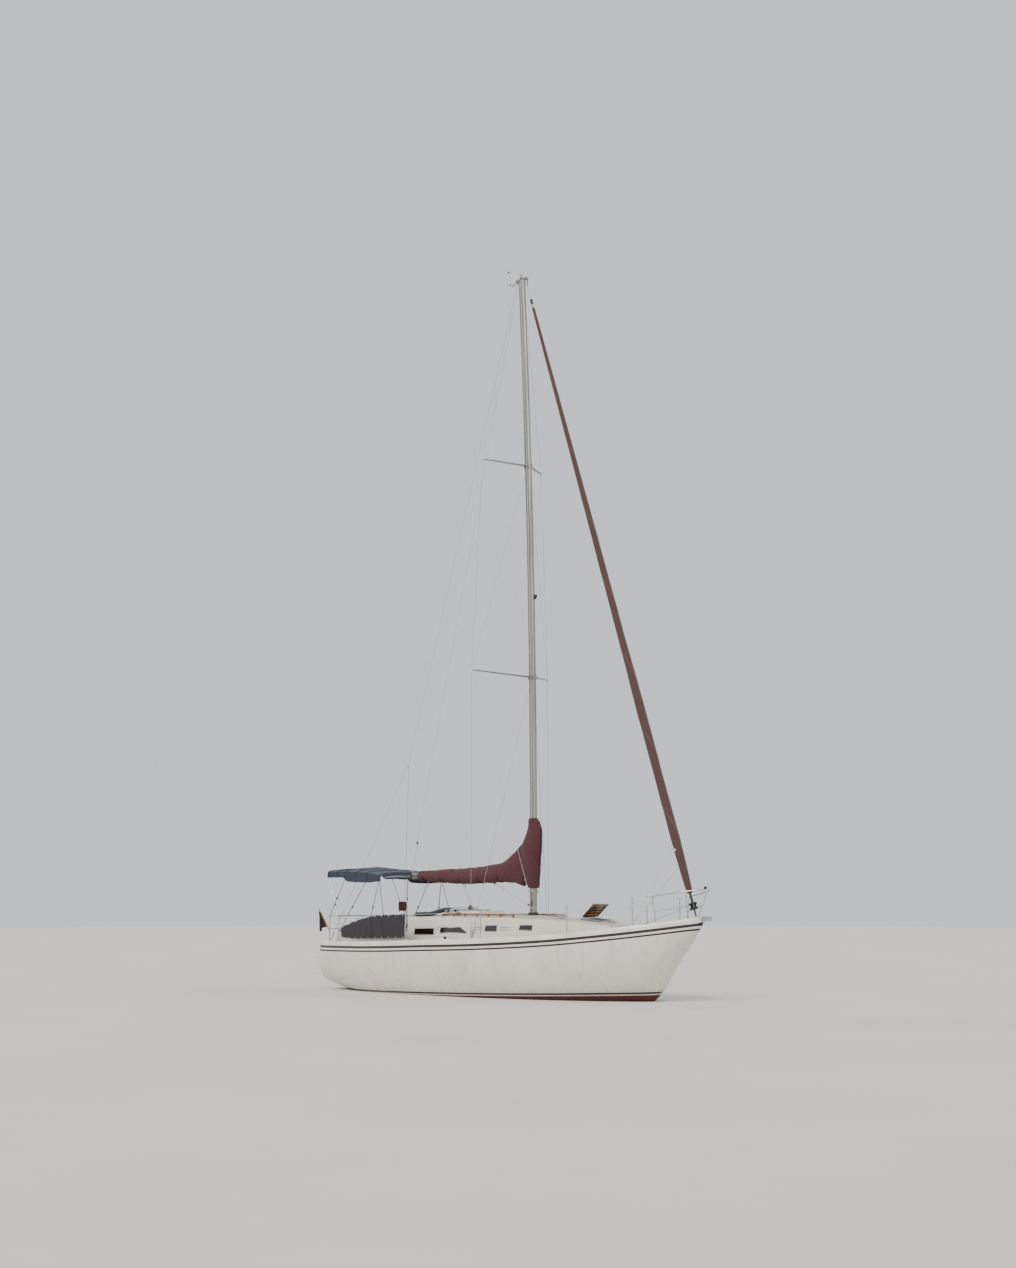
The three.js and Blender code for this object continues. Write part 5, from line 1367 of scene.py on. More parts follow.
def build_rigging():
    """Shrouds, backstay, furling drum and the lines that run along mast and deck."""
    radius = bpy.context.scene.yacht_look.wire_radius
    tips = [Vector((mast_x(z) - sweep, reach, z + lift)) for _, z, reach, sweep, lift, _ in SPREADERS]
    foot = Vector(CHAINPLATE)
    head = Vector((mast_x(16.15), 0.052, 16.15))
    for side, hand in ((1, "port"), (-1, "starboard")):
        def over(p, dy=0.0, dz=0.0):
            return Vector((p[0], side * (p[1] + dy), p[2] + dz))

        cap = Shape()
        cap.pipe([over(foot), over(tips[0]), over(tips[1]), over(head)], radius, sides=8)
        bottle(cap, over(foot), over(tips[0]), 0.03)
        cap.make(f"cap_wire_{hand}", [polished_stainless()],
                 stands_for=(f"cap_shroud_{hand}",))
        lower = Shape()
        root = (mast_x(6.85), 0.048, 6.85)
        lower.pipe([over(foot, -0.014), over(root)], radius, sides=8)
        bottle(lower, over(foot, -0.03), over(root), 0.03)
        lower.make(f"lower_wire_{hand}", [polished_stainless()],
                   stands_for=(f"lower_shroud_{hand}",))
        middle = Shape()
        root = (mast_x(11.68), 0.048, 11.68)
        middle.pipe([over(tips[0], -0.011, 0.012), over(root)], radius, sides=8)
        middle.make(f"middle_wire_{hand}", [polished_stainless()],
                    stands_for=(f"middle_shroud_{hand}",))
        flags = Shape()
        flags.pipe([over(tips[0], -0.02, -0.01), over((mast_x(2.0) + 0.01, 0.080, 1.97))],
                   radius * 0.8, sides=8)
        flags.pipe([over(tips[1], -0.02, -0.01), over((mast_x(7.4), 0.052, 7.4))], radius * 0.8, sides=8)
        flags.make(f"flag_halyards_{hand}", [white_rope()])
    back = Shape()
    high = Vector((BACKSTAY["head"][0], 0, BACKSTAY["head"][1]))
    split = Vector((BACKSTAY["split"][0], 0, BACKSTAY["split"][1]))
    back.pipe([high, split], radius, sides=8)
    for side in (1, -1):
        low = Vector((BACKSTAY["foot"][0], side * BACKSTAY["foot"][1], BACKSTAY["foot"][2]))
        back.pipe([low, split + Vector((0, side * 0.018, 0))], radius, sides=8)
        bottle(back, low, split, 0.03)
    back.plate([split + Vector((dx, -0.0025, dz)) for dx, dz in
                round_corners([(0.0, 0.034), (-0.040, -0.024), (0.040, -0.024)], 0.012)], 0.005)
    back.make("backstay_bridle", [polished_stainless()], stands_for=("backstay",))
    low, high = stay_at(FORESTAY[0][1]), stay_at(FORESTAY[1][1])
    along = (high - low).normalized()
    drum = Shape()
    drum.pipe([low, high], 1.15 * bpy.context.scene.yacht_look.wire_radius, 1, sides=8)
    base = stay_at(1.69)
    scale = 1 / along.z
    rows = [
        (0.016, 0.0), (0.016, 0.14), (0.060, 0.144), (0.084, 0.146), (0.088, 0.150), (0.088, 0.166),
        (0.084, 0.170), (0.052, 0.172),
    ]
    rows += [(0.060 + 0.005 * (k % 2), 0.174 + 0.0058 * k) for k in range(11)]
    rows += [(0.052, 0.236), (0.084, 0.238), (0.088, 0.242), (0.088, 0.256), (0.080, 0.262), (0.030, 0.266),
             (0.025, 0.30), (0.025, 0.44), (0.020, 0.458)]
    drum.lathe([(r, h * scale) for r, h in rows], base, along, 0, sides=36)
    for k in range(4):
        angle = math.pi / 4 + math.pi / 2 * k
        across = Vector((along.z, 0, -along.x))
        out = across * math.cos(angle) + Vector((0, 1, 0)) * math.sin(angle)
        drum.pipe([base + along * 0.165 * scale + out * 0.084, base + along * 0.245 * scale + out * 0.084],
                  0.004, 1)
    drum.make("furling_drum", [black_rubber(), polished_stainless()],
              stands_for=("furler_drum", "forestay"))
    lines = Shape()
    leads = {
        -1: (stay_at(3.07) + Vector((-0.03, -0.09, 0)), Vector((4.10, -0.50, 1.53)), (3.85, -0.62)),
        1: (stay_at(2.77) + Vector((-0.03, 0.09, 0)), Vector((2.95, 0.80, 1.50)), (2.60, 0.96)),
    }
    for side, (clew, low, (x, y)) in leads.items():
        turn = [low, Vector((x, y, deck_z(x, y) + 0.008))]
        turn += [Vector((x, side * y, deck_z(x, y) + 0.008))
                 for x, y in ((2.0, 1.16), (1.2, 1.32), (0.3, 1.40))]
        turn += [Vector((-0.45, side * 1.40, deck_z(-0.45, 1.4) + 0.095)), Vector((-1.7, side * 1.22, 1.24)),
                 Vector((-2.60, side * 1.06, 1.40))]
        lines.pipe([clew.lerp(low, k / 8) for k in range(8)] + catmull(turn, 8), 0.006, 0, sides=6)
    furling = [(5.19, -0.10, 1.88), (4.60, -0.50, 1.60), (4.25, -0.70, 1.50), (2.95, -1.20, 1.37),
               (0.9, -1.58, 1.23), (-1.4, -1.62, 1.155), (-2.45, -1.30, 1.16), (-2.60, -1.06, 1.345)]
    lines.pipe(catmull(furling, 8), 0.0045, 1, sides=6)
    for side in (1, -1):
        halyard = [(mast_x(z) + 0.02, side * (MAST["half"] + 0.012), z)
                   for z in [2.25 + (16.2 - 2.25) * k / 40 for k in range(41)]]
        lines.pipe(halyard, 0.005, int(side > 0), sides=6)
    lines.make("running_lines", [white_rope(), blue_rope()])


def build_boom():
    """The boom with its topping lift, the mainsheet and the vang."""
    boom = Shape()
    rings = []
    for k in range(25):
        x = BOOM["front"] + (BOOM["end"] - BOOM["front"]) * k / 24
        ring = []
        for i in range(28):
            angle = 2 * math.pi * i / 28
            y = BOOM["half"] * math.copysign(abs(math.cos(angle)) ** 0.8, math.cos(angle))
            z = BOOM["high"] * math.copysign(abs(math.sin(angle)) ** 0.85, math.sin(angle))
            ring.append((x, y * (0.97 if z < 0 else 0.92), boom_z(x) + z))
        rings.append(ring)
    boom.loft(rings)
    boom.slab((BOOM["end"] - 0.012, -0.050, boom_z(-3.1) - 0.075),
              (BOOM["end"] + 0.02, 0.050, boom_z(-3.1) + 0.075),
              1, ease=0.01)
    x, z = GOOSENECK
    tilt = Matrix.Translation((x, 0, z)) @ Matrix.Rotation(math.atan2(0.400 - x, 16.2 - z), 4, "Y")
    boom.slab((-0.062, -0.016, -0.050), (0.0, 0.016, 0.050), 2, place=tilt)
    boom.lathe([(0.018, -0.059), (0.0185, -0.05), (0.0185, 0.05), (0.018, 0.059)], finish=2,
               place=tilt, sides=20)
    for x in (-1.33, -0.35):
        boom.pipe(catmull([(x - 0.03, 0.030, boom_z(x) - 0.066), (x - 0.02, 0.022, boom_z(x) - 0.10),
                           (x, 0, boom_z(x) - 0.112), (x + 0.02, -0.022, boom_z(x) - 0.10),
                           (x + 0.03, -0.030, boom_z(x) - 0.066)]), 0.005, 2)
    for side in (1, -1):
        boom.lathe([(0.024, 0), (0.026, 0.004), (0.018, 0.010), (0.0, 0.011)],
                   (BOOM["end"] + 0.05, side * 0.046, boom_z(-3.05)), (0, side, 0), 1)
    boom.make("boom_extrusion", [boom_aluminium(), black_rubber(), polished_stainless()], "boom",
              ("boom",))
    lift = Shape()
    tip = Vector((BOOM["end"] + 0.02, 0, boom_z(-3.08) + 0.075))
    block = Vector((-2.92, 0, 3.41))
    top = Vector((0.42, 0, 16.21))
    lift.pipe([block, top], 0.0035, 0, sides=6)
    for dy in (-0.010, 0.010):
        lift.pipe([tip + Vector((0, dy, 0)), block + Vector((0, dy, -0.05))], 0.004, 1, sides=6)
    lift.lathe([(0.020, -0.014), (0.026, -0.010), (0.028, 0), (0.026, 0.010), (0.020, 0.014)],
               block + Vector((0, 0, -0.04)), (0, 1, 0), 2)
    lift.pipe([block + Vector((0, 0, -0.06)), block + Vector((0, 0, 0.0))], 0.006, 0)
    lift.make("topping_lift", [polished_stainless(), white_rope(), black_rubber()], "boom")
    sheet = Shape()
    low, high = Vector((-1.12, 0, 1.905)), Vector((-1.33, 0, boom_z(-1.33) - 0.135))
    for dx, dy in ((-0.014, -0.016), (-0.014, 0.016), (0.014, -0.016), (0.014, 0.016)):
        shift = Vector((dx, dy, 0))
        sheet.pipe([low + shift + (high - low) * (k / 10) for k in range(11)], 0.005, 0, sides=6)
    for spot in (low, high):
        for dy in (-0.016, 0.016):
            sheet.lathe([(0.018, -0.009), (0.026, -0.007), (0.020, 0), (0.026, 0.007), (0.018, 0.009)],
                        spot + Vector((0, dy, 0)), (0, 1, 0), 1, sides=18)
    sheet.pipe([low + Vector((0, 0, -0.024)), low], 0.008, 2)
    sheet.pipe([high, high + Vector((0, 0, 0.028))], 0.008, 2)
    piece = sheet.make("mainsheet_tackle", [white_rope(), black_rubber(), polished_stainless()], None,
                       ride=False)
    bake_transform(piece)
    vang = Shape()
    low = Vector((mast_x(1.92) - 0.15, 0, 1.925))
    high = Vector((-0.35, 0, boom_z(-0.35) - 0.125))
    for dy in (-0.014, 0.014):
        vang.pipe([low + Vector((0, dy, 0)) + (high - low) * (k / 10) for k in range(11)], 0.005, 0, sides=6)
    for spot in (low, high):
        vang.lathe([(0.018, -0.014), (0.026, -0.010), (0.020, 0), (0.026, 0.010), (0.018, 0.014)], spot,
                   (0, 1, 0), 1, sides=18)
    piece = vang.make("boom_vang", [white_rope(), black_rubber()], None, ride=False)
    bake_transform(piece)


# Canvas and sails


def cover_ring(x, count=36):
    """A section of the boom cover: peaked over the flaked sail, drawn in under the boom."""
    low, high, half = cover_lines(x)
    outline = [(0, 1), (0.45, 0.88), (0.8, 0.62), (1, 0.34), (0.85, 0.1), (0.35, 0)]
    outline += [(-y, z) for y, z in reversed(outline[1:])]
    curve = catmull([(y * half, low + z * (high - low), 0) for y, z in outline], 8, closed=True)
    picks = [curve[int(i * len(curve) / count)] for i in range(count)]
    return [(x, p.x, p.y) for p in picks]


def build_sail_cover():
    """The cover over the stowed mainsail with its collar round the mast, straps and zip."""
    form = Shape()
    rings = []
    for k in range(72):
        rings.append(cover_ring(-2.82 + (0.60 + 2.82) * k / 71))
    form.loft(rings)
    collar = []
    for k in range(48):
        z = 2.29 + (3.80 - 2.29) * k / 47
        aft, front, half = collar_lines(z)
        middle = mast_x(z)
        ring = []
        for i in range(32):
            angle = 2 * math.pi * i / 32
            reach = front - middle if math.cos(angle) > 0 else middle - aft
            ring.append((middle + reach * math.cos(angle), half * math.sin(angle), z))
        collar.append(ring)
    form.loft(collar)
    piece = form.make("sail_cover", [maroon_canvas(), black_rubber()], None, ride=False)
    blocks = piece.modifiers.new("weld", "REMESH")
    blocks.mode = "VOXEL"
    blocks.voxel_size = 0.014
    ease = piece.modifiers.new("ease", "SMOOTH")
    ease.iterations = 12
    apply_modifiers(piece)
    work = bmesh.new()
    work.from_mesh(piece.data)
    work.normal_update()
    moves = []
    for v in work.verts:
        p = v.co
        aft = max(0.0, min(1.0, (0.35 - p.x) / 0.5))
        hang = noise.noise(Vector((p.x * 2.4, p.y * 3, p.z * 5))) * 0.012
        fold = noise.noise(Vector((p.x * 6.5 + p.z * 5.0, p.y * 4, p.z * 2.2))) * 0.010
        tie = math.exp(-(((p.x + 0.42) % 0.62 - 0.31) / 0.030) ** 2) * 0.009 * aft
        gather = math.exp(-((p.z - 3.66) / 0.05) ** 2) * 0.010 if p.x > 0.5 else 0.0
        low = cover_lines(min(max(p.x, -2.82), 0.60))[0]
        near_edge = math.exp(-((p.z - low) / 0.05) ** 2)
        drop = near_edge * 0.022 * math.sin(math.pi * (p.x + 0.11) / 0.62) ** 2 * aft
        moves.append(v.normal * (hang + fold - tie - gather) + Vector((0, 0, -drop)))
    for v, move in zip(work.verts, moves):
        v.co += move
    for face in work.faces:
        face.smooth = True
    work.to_mesh(piece.data)
    work.free()
    if not piece.data.materials:
        piece.data.materials.append(maroon_canvas())
    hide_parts("sail_cover_boom", "sail_cover_mast")
    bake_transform(piece)
    ties = Shape()
    for k in range(5):
        x = -0.11 - 0.62 * k
        if x < -2.8:
            break
        ring = [(x, y * 0.965, z + (0.004 if z > 2.6 else -0.002)) for _, y, z in cover_ring(x, 28)]
        low = min(p[2] for p in ring)
        strap = [p for p in ring if p[2] < low + 0.13]
        strap.sort(key=lambda p: p[1])
        ties.pipe(catmull([(x, p[1] * 1.05, p[2] - 0.004) for p in strap], 3), 0.004, 0, wide=3.0, sides=8)
        ties.slab((x - 0.02, -0.018, low - 0.020), (x + 0.02, 0.018, low - 0.002), 1, ease=0.003)
    ties.make("cover_straps", [charcoal_canvas(), black_rubber()], "boom")
    lacing = Shape()
    for k in range(9):
        z = 2.42 + 0.16 * k
        _, front, half = collar_lines(z)
        ring = [(front - 0.030 + 0.030 * math.cos(a), half * 0.42 * math.sin(a), z + 0.02 * math.sin(a))
                for a in [-1.3 + 2.6 * i / 8 for i in range(9)]]
        lacing.pipe(ring, 0.004, 0, sides=6)
    path = [(collar_lines(z)[1] + 0.004, 0, z) for z in [2.34 + 1.38 * i / 20 for i in range(21)]]
    lacing.pipe(path, 0.006, 0, sides=6, wide=2.0)
    lacing.make("cover_zip", [charcoal_canvas()])


def build_jib():
    """The headsail rolled on its stay in a spiral, and the ring at its clew."""
    sail = Shape()
    low, high = 2.15, 15.45
    direction = (stay_at(high) - stay_at(low)).normalized()
    across = Vector((direction.z, 0, -direction.x))
    rows, sides = 330, 40
    rings, wrap = [], []
    for r in range(rows + 1):
        z = low + (high - low) * r / rows
        radius = jib_radius(z)[0]
        ring = []
        for i in range(sides):
            angle = 2 * math.pi * i / sides
            turn = (i / sides + z / 1.65) % 1.0
            lip = 0.055 * max(0.0, 1 - turn / 0.5) - 0.02
            lump = 0.03 * noise.noise(Vector((math.cos(angle) * 2, math.sin(angle) * 2, z * 2.2)))
            reach = radius * (0.985 + lip * 0.6 + lump)
            beside = stay_at(z) + across * (reach * math.cos(angle))
            ring.append(beside + Vector((0, reach * math.sin(angle), 0)))
            wrap.append(turn)
        rings.append(ring)
    sail.loft(rings)
    sail.uv["wrap"] = wrap
    sail.pipe([stay_at(15.44), stay_at(15.58)], 0.018, 1, sides=12)
    sail.pipe([stay_at(15.562), stay_at(15.68)], 0.029, 2, sides=20)
    sail.uv["wrap"] += [0.7] * (len(sail.points) - len(wrap))
    piece = sail.make("furled_headsail", [furled_sailcloth(), anodised_aluminium(), black_rubber()],
                      stands_for=("furled_jib",), smooth=60)
    patch = Shape()
    spot = stay_at(3.0)
    patch.lathe([(0.026, -0.008), (0.034, -0.004), (0.034, 0.004), (0.026, 0.008), (0.018, 0.004),
                 (0.018, -0.004)], spot + Vector((-0.03, -0.098, 0)), (0.1, -1, 0), 0, sides=20)
    for side in (1, -1):
        patch.lathe([(0.012, -0.03), (0.020, -0.016), (0.022, 0.0), (0.018, 0.018), (0.010, 0.03)],
                    spot + Vector((-0.035, side * 0.088, -0.01)), (0.7, side * 0.4, 0.3), 1, sides=14)
    patch.make("clew_ring", [polished_stainless(), white_rope()])


canopy_rows = smooth_table(CANOPY)
CANOPY_AFT, CANOPY_FRONT = CANOPY[0][0], CANOPY[-1][0]


def canopy_point(x, across):
    """A point of the bimini's cloth: across runs from -1 at one skirt to 1 at the other."""
    skirt, shoulder, crown, corner = canopy_rows(x)
    flank = crown - (crown - shoulder) * 0.38
    rows = [
        (0.0, 0.0, crown, 0.0), (0.47, 0.62, flank, corner * 0.3), (0.87, 0.982, shoulder, corner),
        (1.0, 1.0, skirt, corner),
    ]
    y, z, forward = smooth_table(rows)(abs(across))
    hoop_x = [row[0] for row in HOOPS]
    gap = next(((a, b) for a, b in zip(hoop_x, hoop_x[1:]) if a <= x <= b), None)
    if gap:
        between = math.sin(math.pi * (x - gap[0]) / (gap[1] - gap[0])) * (gap[1] - gap[0])
        z -= 0.026 * between * (1 - abs(across) ** 3)
        y -= 0.022 * between * max(abs(across) - 0.7, 0) / 0.3
    ripple = noise.noise(Vector((x * 3.1, across * 2.6, 1.3))) * 0.006
    return Vector((x + forward, math.copysign(y, across), z + ripple))


def front_edge(y):
    """The height and the x of the canopy's front edge at a breadth."""
    spots = [canopy_point(CANOPY_FRONT, k / 40) for k in range(36)]
    near = min(spots, key=lambda p: abs(p.y - abs(y)))
    return near.x, near.z


def build_bimini():
    """The sunshade: one curved sheet with its hems, hoops and front valance."""
    columns, rows = 64, 72
    length = CANOPY_FRONT - CANOPY_AFT
    along = [CANOPY_AFT + length * c / columns for c in range(columns + 1)]
    sheet = Shape()
    sheet.loft([[canopy_point(x, 2 * r / rows - 1) for r in range(rows + 1)] for x in along], closed=False,
               caps=False)
    piece = sheet.make("bimini_cloth", [navy_canvas()], None, smooth=80, ride=False)
    thick = piece.modifiers.new("thick", "SOLIDIFY")
    thick.thickness = 0.004
    thick.offset = -1
    apply_modifiers(piece)
    foot = Vector(BACKSTAY["foot"])
    split = Vector((BACKSTAY["split"][0], 0, BACKSTAY["split"][1]))
    for side in (1, -1):
        low = Vector((foot.x, side * foot.y, foot.z))
        cut_round(piece, low.lerp(split, 0.33), low.lerp(split, 0.50), 0.034)
    piece.data.polygons.foreach_set("use_smooth", [True] * len(piece.data.polygons))
    piece.data.set_sharp_from_angle(angle=math.radians(50))
    settle(piece, "yacht", ("bimini_canopy",))
    middle = [canopy_point(-4.1, 2 * r / rows - 1) for r in range(rows + 1)]
    seams = bimini_seams(foot, split)
    bimini_hoops()
    bimini_valance()


def bimini_hoops():
    """Four steel hoops with their feet, clamps, side bars and the webbing that holds the front one down."""
    tubes = Shape()
    flanks = {1: [], -1: []}
    for x, (foot_x, foot_y, foot_z) in HOOPS:
        arch = []
        for k in range(1, 40):
            p = canopy_point(x, 2 * k / 40 - 1)
            arch.append(Vector((p.x, p.y * 0.978, p.z - 0.0185)))
        for side in (1, -1):
            flanks[side].append(min(arch, key=lambda p: abs(p.y - side * 0.60)) + Vector((0, 0, -0.004)))
        port, starboard = Vector((foot_x, foot_y, foot_z)), Vector((foot_x, -foot_y, foot_z))
        path = [starboard, starboard.lerp(arch[0], 0.85), *arch, port.lerp(arch[-1], 0.85), port]
        tubes.pipe(catmull(path, 3), 0.0125, 0, sides=12)
        for side in (1, -1):
            if foot_z < 1.5:
                tubes.lathe([(0.030, 0), (0.030, 0.008), (0.018, 0.014), (0.018, 0.055), (0.012, 0.060)],
                            (foot_x, side * foot_y, COCKPIT["coaming"] + 0.0005))
            else:
                way = Vector((PUSHPIT[3][0] - PUSHPIT[1][0], side * (PUSHPIT[3][1] - PUSHPIT[1][1]),
                              0)).normalized()
                grip = Vector((foot_x, side * foot_y, foot_z))
                tubes.pipe([grip - way * 0.022, grip + way * 0.022], 0.021, 1, sides=18)
            low = Vector((foot_x, side * foot_y, foot_z))
            top = arch[-1] if side > 0 else arch[0]
            tubes.lathe([(0.018, -0.02), (0.018, 0.02)], low.lerp(top, 0.45), (top - low).normalized(),
                        1, sides=16)
    for side in (1, -1):
        tubes.pipe(flanks[side], 0.010, 0, sides=10)
        for a, b in zip(flanks[side], flanks[side][1:]):
            way = (b - a).normalized()
            tubes.pipe([a + way * 0.012, a + way * 0.045], 0.014, 1, sides=12)
            tubes.pipe([b - way * 0.045, b - way * 0.012], 0.014, 1, sides=12)
    tubes.make("bimini_hoops", [polished_stainless(), black_rubber()],
               stands_for=("bimini_frame",))
    ties = Shape()
    for side in (1, -1):
        top = Vector((-3.118, side * 0.978, 2.478))
        low = Vector((-2.78, side * 1.08, COCKPIT["coaming"] + 0.022))
        ties.pipe([top, low], 0.0016, 0, wide=6.0, sides=8)
        buckle = top.lerp(low, 0.72)
        ties.pipe([buckle, buckle.lerp(low, 0.10)], 0.005, 1, wide=3.0, sides=8)
        ties.lathe([(0.016, -0.022), (0.016, -0.016), (0.006, -0.012), (0.005, 0.004)], low, finish=1)
    ties.make("bimini_straps", [charcoal_canvas(), polished_stainless()])


def bimini_valance():
    """A short flap that hangs from the front hoop, with a paler band along it: a zip band with a painted
    highlight.
    """
    reach, steps = 0.975, 60

    def flap_point(y, share, proud=0.0):
        x, z = front_edge(y)
        low = 2.532 + 0.05 * max(0.0, abs(y) - 0.80) / 0.13 + 0.005 * math.sin(y * 11)
        swing = 0.006 * math.sin(y * 7 + 6 * share) * share
        return Vector((x + 0.004 + swing + proud, y, z + (low - z) * share))

    flap = Shape()
    grid = [[flap_point(reach * (2 * k / steps - 1), r / 6) for r in range(7)] for k in range(steps + 1)]
    flap.loft(grid, closed=False, caps=False)
    piece = flap.make("bimini_valance", [navy_canvas()], None, smooth=80, ride=False)
    thick = piece.modifiers.new("thick", "SOLIDIFY")
    thick.thickness = 0.003
    thick.offset = 0
    apply_modifiers(piece)
    settle(piece, "yacht", ())
    trim = Shape()
    # The pale band: a zip band, lightened as a painted highlight of the front slope.
    trim.loft([
        [flap_point(0.82 * (2 * k / steps - 1), share, 0.006) for share in (0.42, 0.58, 0.74)]
        for k in range(steps + 1)
    ], closed=False, caps=False)
    trim.pipe([row[-1] for row in grid], 0.005, 1, sides=8)
    band_piece = trim.make("valance_zip_and_painted_highlight", [zip_band_and_highlight(), navy_canvas()], smooth=80)


def bimini_seams(foot, split):
    """Hems and hoop pockets sewn on the sunshade."""
    seams = Shape()
    for x in (*(row[0] for row in HOOPS), -4.62, -3.95):
        path = [canopy_point(x, 2 * k / 60 - 1) + Vector((0, 0, 0.0015)) for k in range(61)]
        seams.pipe(path, 0.0026, 0, wide=5.0, sides=8)
    columns = [CANOPY_AFT + (CANOPY_FRONT - CANOPY_AFT) * c / 50 for c in range(51)]
    for side in (1, -1):
        seams.pipe([canopy_point(x, side * 0.998) + Vector((0, side * 0.002, 0.004)) for x in columns], 0.007,
                   0, sides=8)
        seams.pipe([canopy_point(x, side * 0.87) + Vector((0, side * 0.001, 0.002)) for x in columns], 0.003,
                   0, wide=2.0, sides=8)
        at = Vector((foot.x, side * foot.y, foot.z)).lerp(split, 0.402)
        ring = []
        for k in range(28):
            angle = 2 * math.pi * k / 28
            x = at.x + 0.045 * math.cos(angle)
            wide = at.y + 0.045 * math.sin(angle)
            share = min(range(200), key=lambda s: abs(canopy_point(x, s / 199).y - abs(wide))) / 199
            ring.append(canopy_point(x, math.copysign(share, wide)) + Vector((0, 0, 0.002)))
        seams.pipe(ring, 0.005, 0, wide=1.5, closed=True, sides=8)
    for x in (CANOPY_AFT, CANOPY_FRONT):
        seams.pipe([canopy_point(x, 2 * k / 60 - 1) for k in range(61)], 0.006, 0, sides=8)
    return seams.make("bimini_seams", [navy_canvas()])


cloth_line = straight_table([WIRE_ENDS[0], *STANCHIONS])


def cloth_point(x, up):
    """A point of a weather cloth: up runs from 0 at the lower hem to 1 at the top one."""
    sheer = hull_chords(x)[1]
    fall = max(0.0, min(1.0, (-2.35 - x) / 1.49))
    low = sheer + 0.150 + 0.03 * max(0.0, (-3.4 - x) / 0.44)
    high = sheer + 0.650 - 0.25 * fall**1.6
    posts = min(abs(x + 3.01), abs(x + 1.41), 0.55)
    belly = 0.012 * math.sin(math.pi * up) * posts / 0.55
    ripple = 0.006 * noise.noise(Vector((x * 5.5, up * 2.0, 4.0)))
    y = cloth_line(x)[0] + 0.0165 + belly + ripple + 0.002
    return Vector((x, y, low + (high - low) * up + 0.006 * math.sin(x * 20.0) * up))


def build_weather_cloths():
    """The cloths laced between the lifelines beside the cockpit."""
    for side, hand in ((1, "port"), (-1, "starboard")):
        columns, rows = 90, 22
        sheet = Shape()
        grid = [[cloth_point(-3.84 + 2.42 * c / columns, r / rows) for r in range(rows + 1)]
                for c in range(columns + 1)]
        sheet.loft([[Vector((p.x, side * p.y, p.z)) for p in row] for row in grid], closed=False, caps=False)
        piece = sheet.make(f"weather_canvas_{hand}", [charcoal_canvas()], None, smooth=80,
                           ride=False)
        thick = piece.modifiers.new("thick", "SOLIDIFY")
        thick.thickness = 0.003
        thick.offset = 0
        apply_modifiers(piece)
        piece.data.polygons.foreach_set("use_smooth", [True] * len(piece.data.polygons))
        settle(piece, "yacht", (f"weather_cloth_{hand}",))
        hems = Shape()
        for up in (0.0, 1.0):
            path = [cloth_point(-3.84 + 2.42 * c / 60, up) for c in range(61)]
            hems.pipe([Vector((p.x, side * p.y, p.z)) for p in path], 0.006, 0, sides=8)
        for x in (-3.84, -2.62, -1.42):
            path = [cloth_point(x, r / 16) for r in range(17)]
            hems.pipe([Vector((p.x, side * (p.y + 0.0015), p.z)) for p in path], 0.0035, 0, sides=8, wide=2.0)
        for k in range(10):
            x = -3.78 + 2.30 * k / 9
            for up, rise in ((0.965, 0.598), (0.045, None)):
                p = cloth_point(x, up)
                hems.lathe([(0.006, -0.002), (0.013, -0.0015), (0.013, 0.0035), (0.006, 0.004)],
                           (p.x, side * (p.y + 0.001), p.z), (0, side, 0), 1, sides=14)
                inside = cloth_line(x)[0]
                if rise:
                    wire = hull_chords(x)[1] + 0.04 + rise
                    loop = [(p.x, side * (p.y + 0.006), p.z), (p.x + 0.012, side * (p.y + 0.004), p.z + 0.03),
                            (p.x + 0.014, side * inside, max(wire, p.z) + 0.006),
                            (p.x + 0.004, side * (inside - 0.010), p.z + 0.01),
                            (p.x, side * (p.y - 0.006), p.z)]
                    hems.pipe(catmull(loop, 5), 0.0022, 2, sides=5)
                else:
                    rail = hull_chords(x)[1] + 0.105
                    loop = [(p.x, side * (p.y + 0.006), p.z),
                            (p.x + 0.01, side * (inside + 0.02), rail + 0.02),
                            (p.x + 0.02, side * (inside + 0.055), rail - 0.002)]
                    hems.pipe(catmull(loop, 5), 0.0022, 2, sides=5)
        trim = hems.make(f"weather_trim_{hand}", [charcoal_canvas(), polished_stainless(),
                                                  white_rope()])


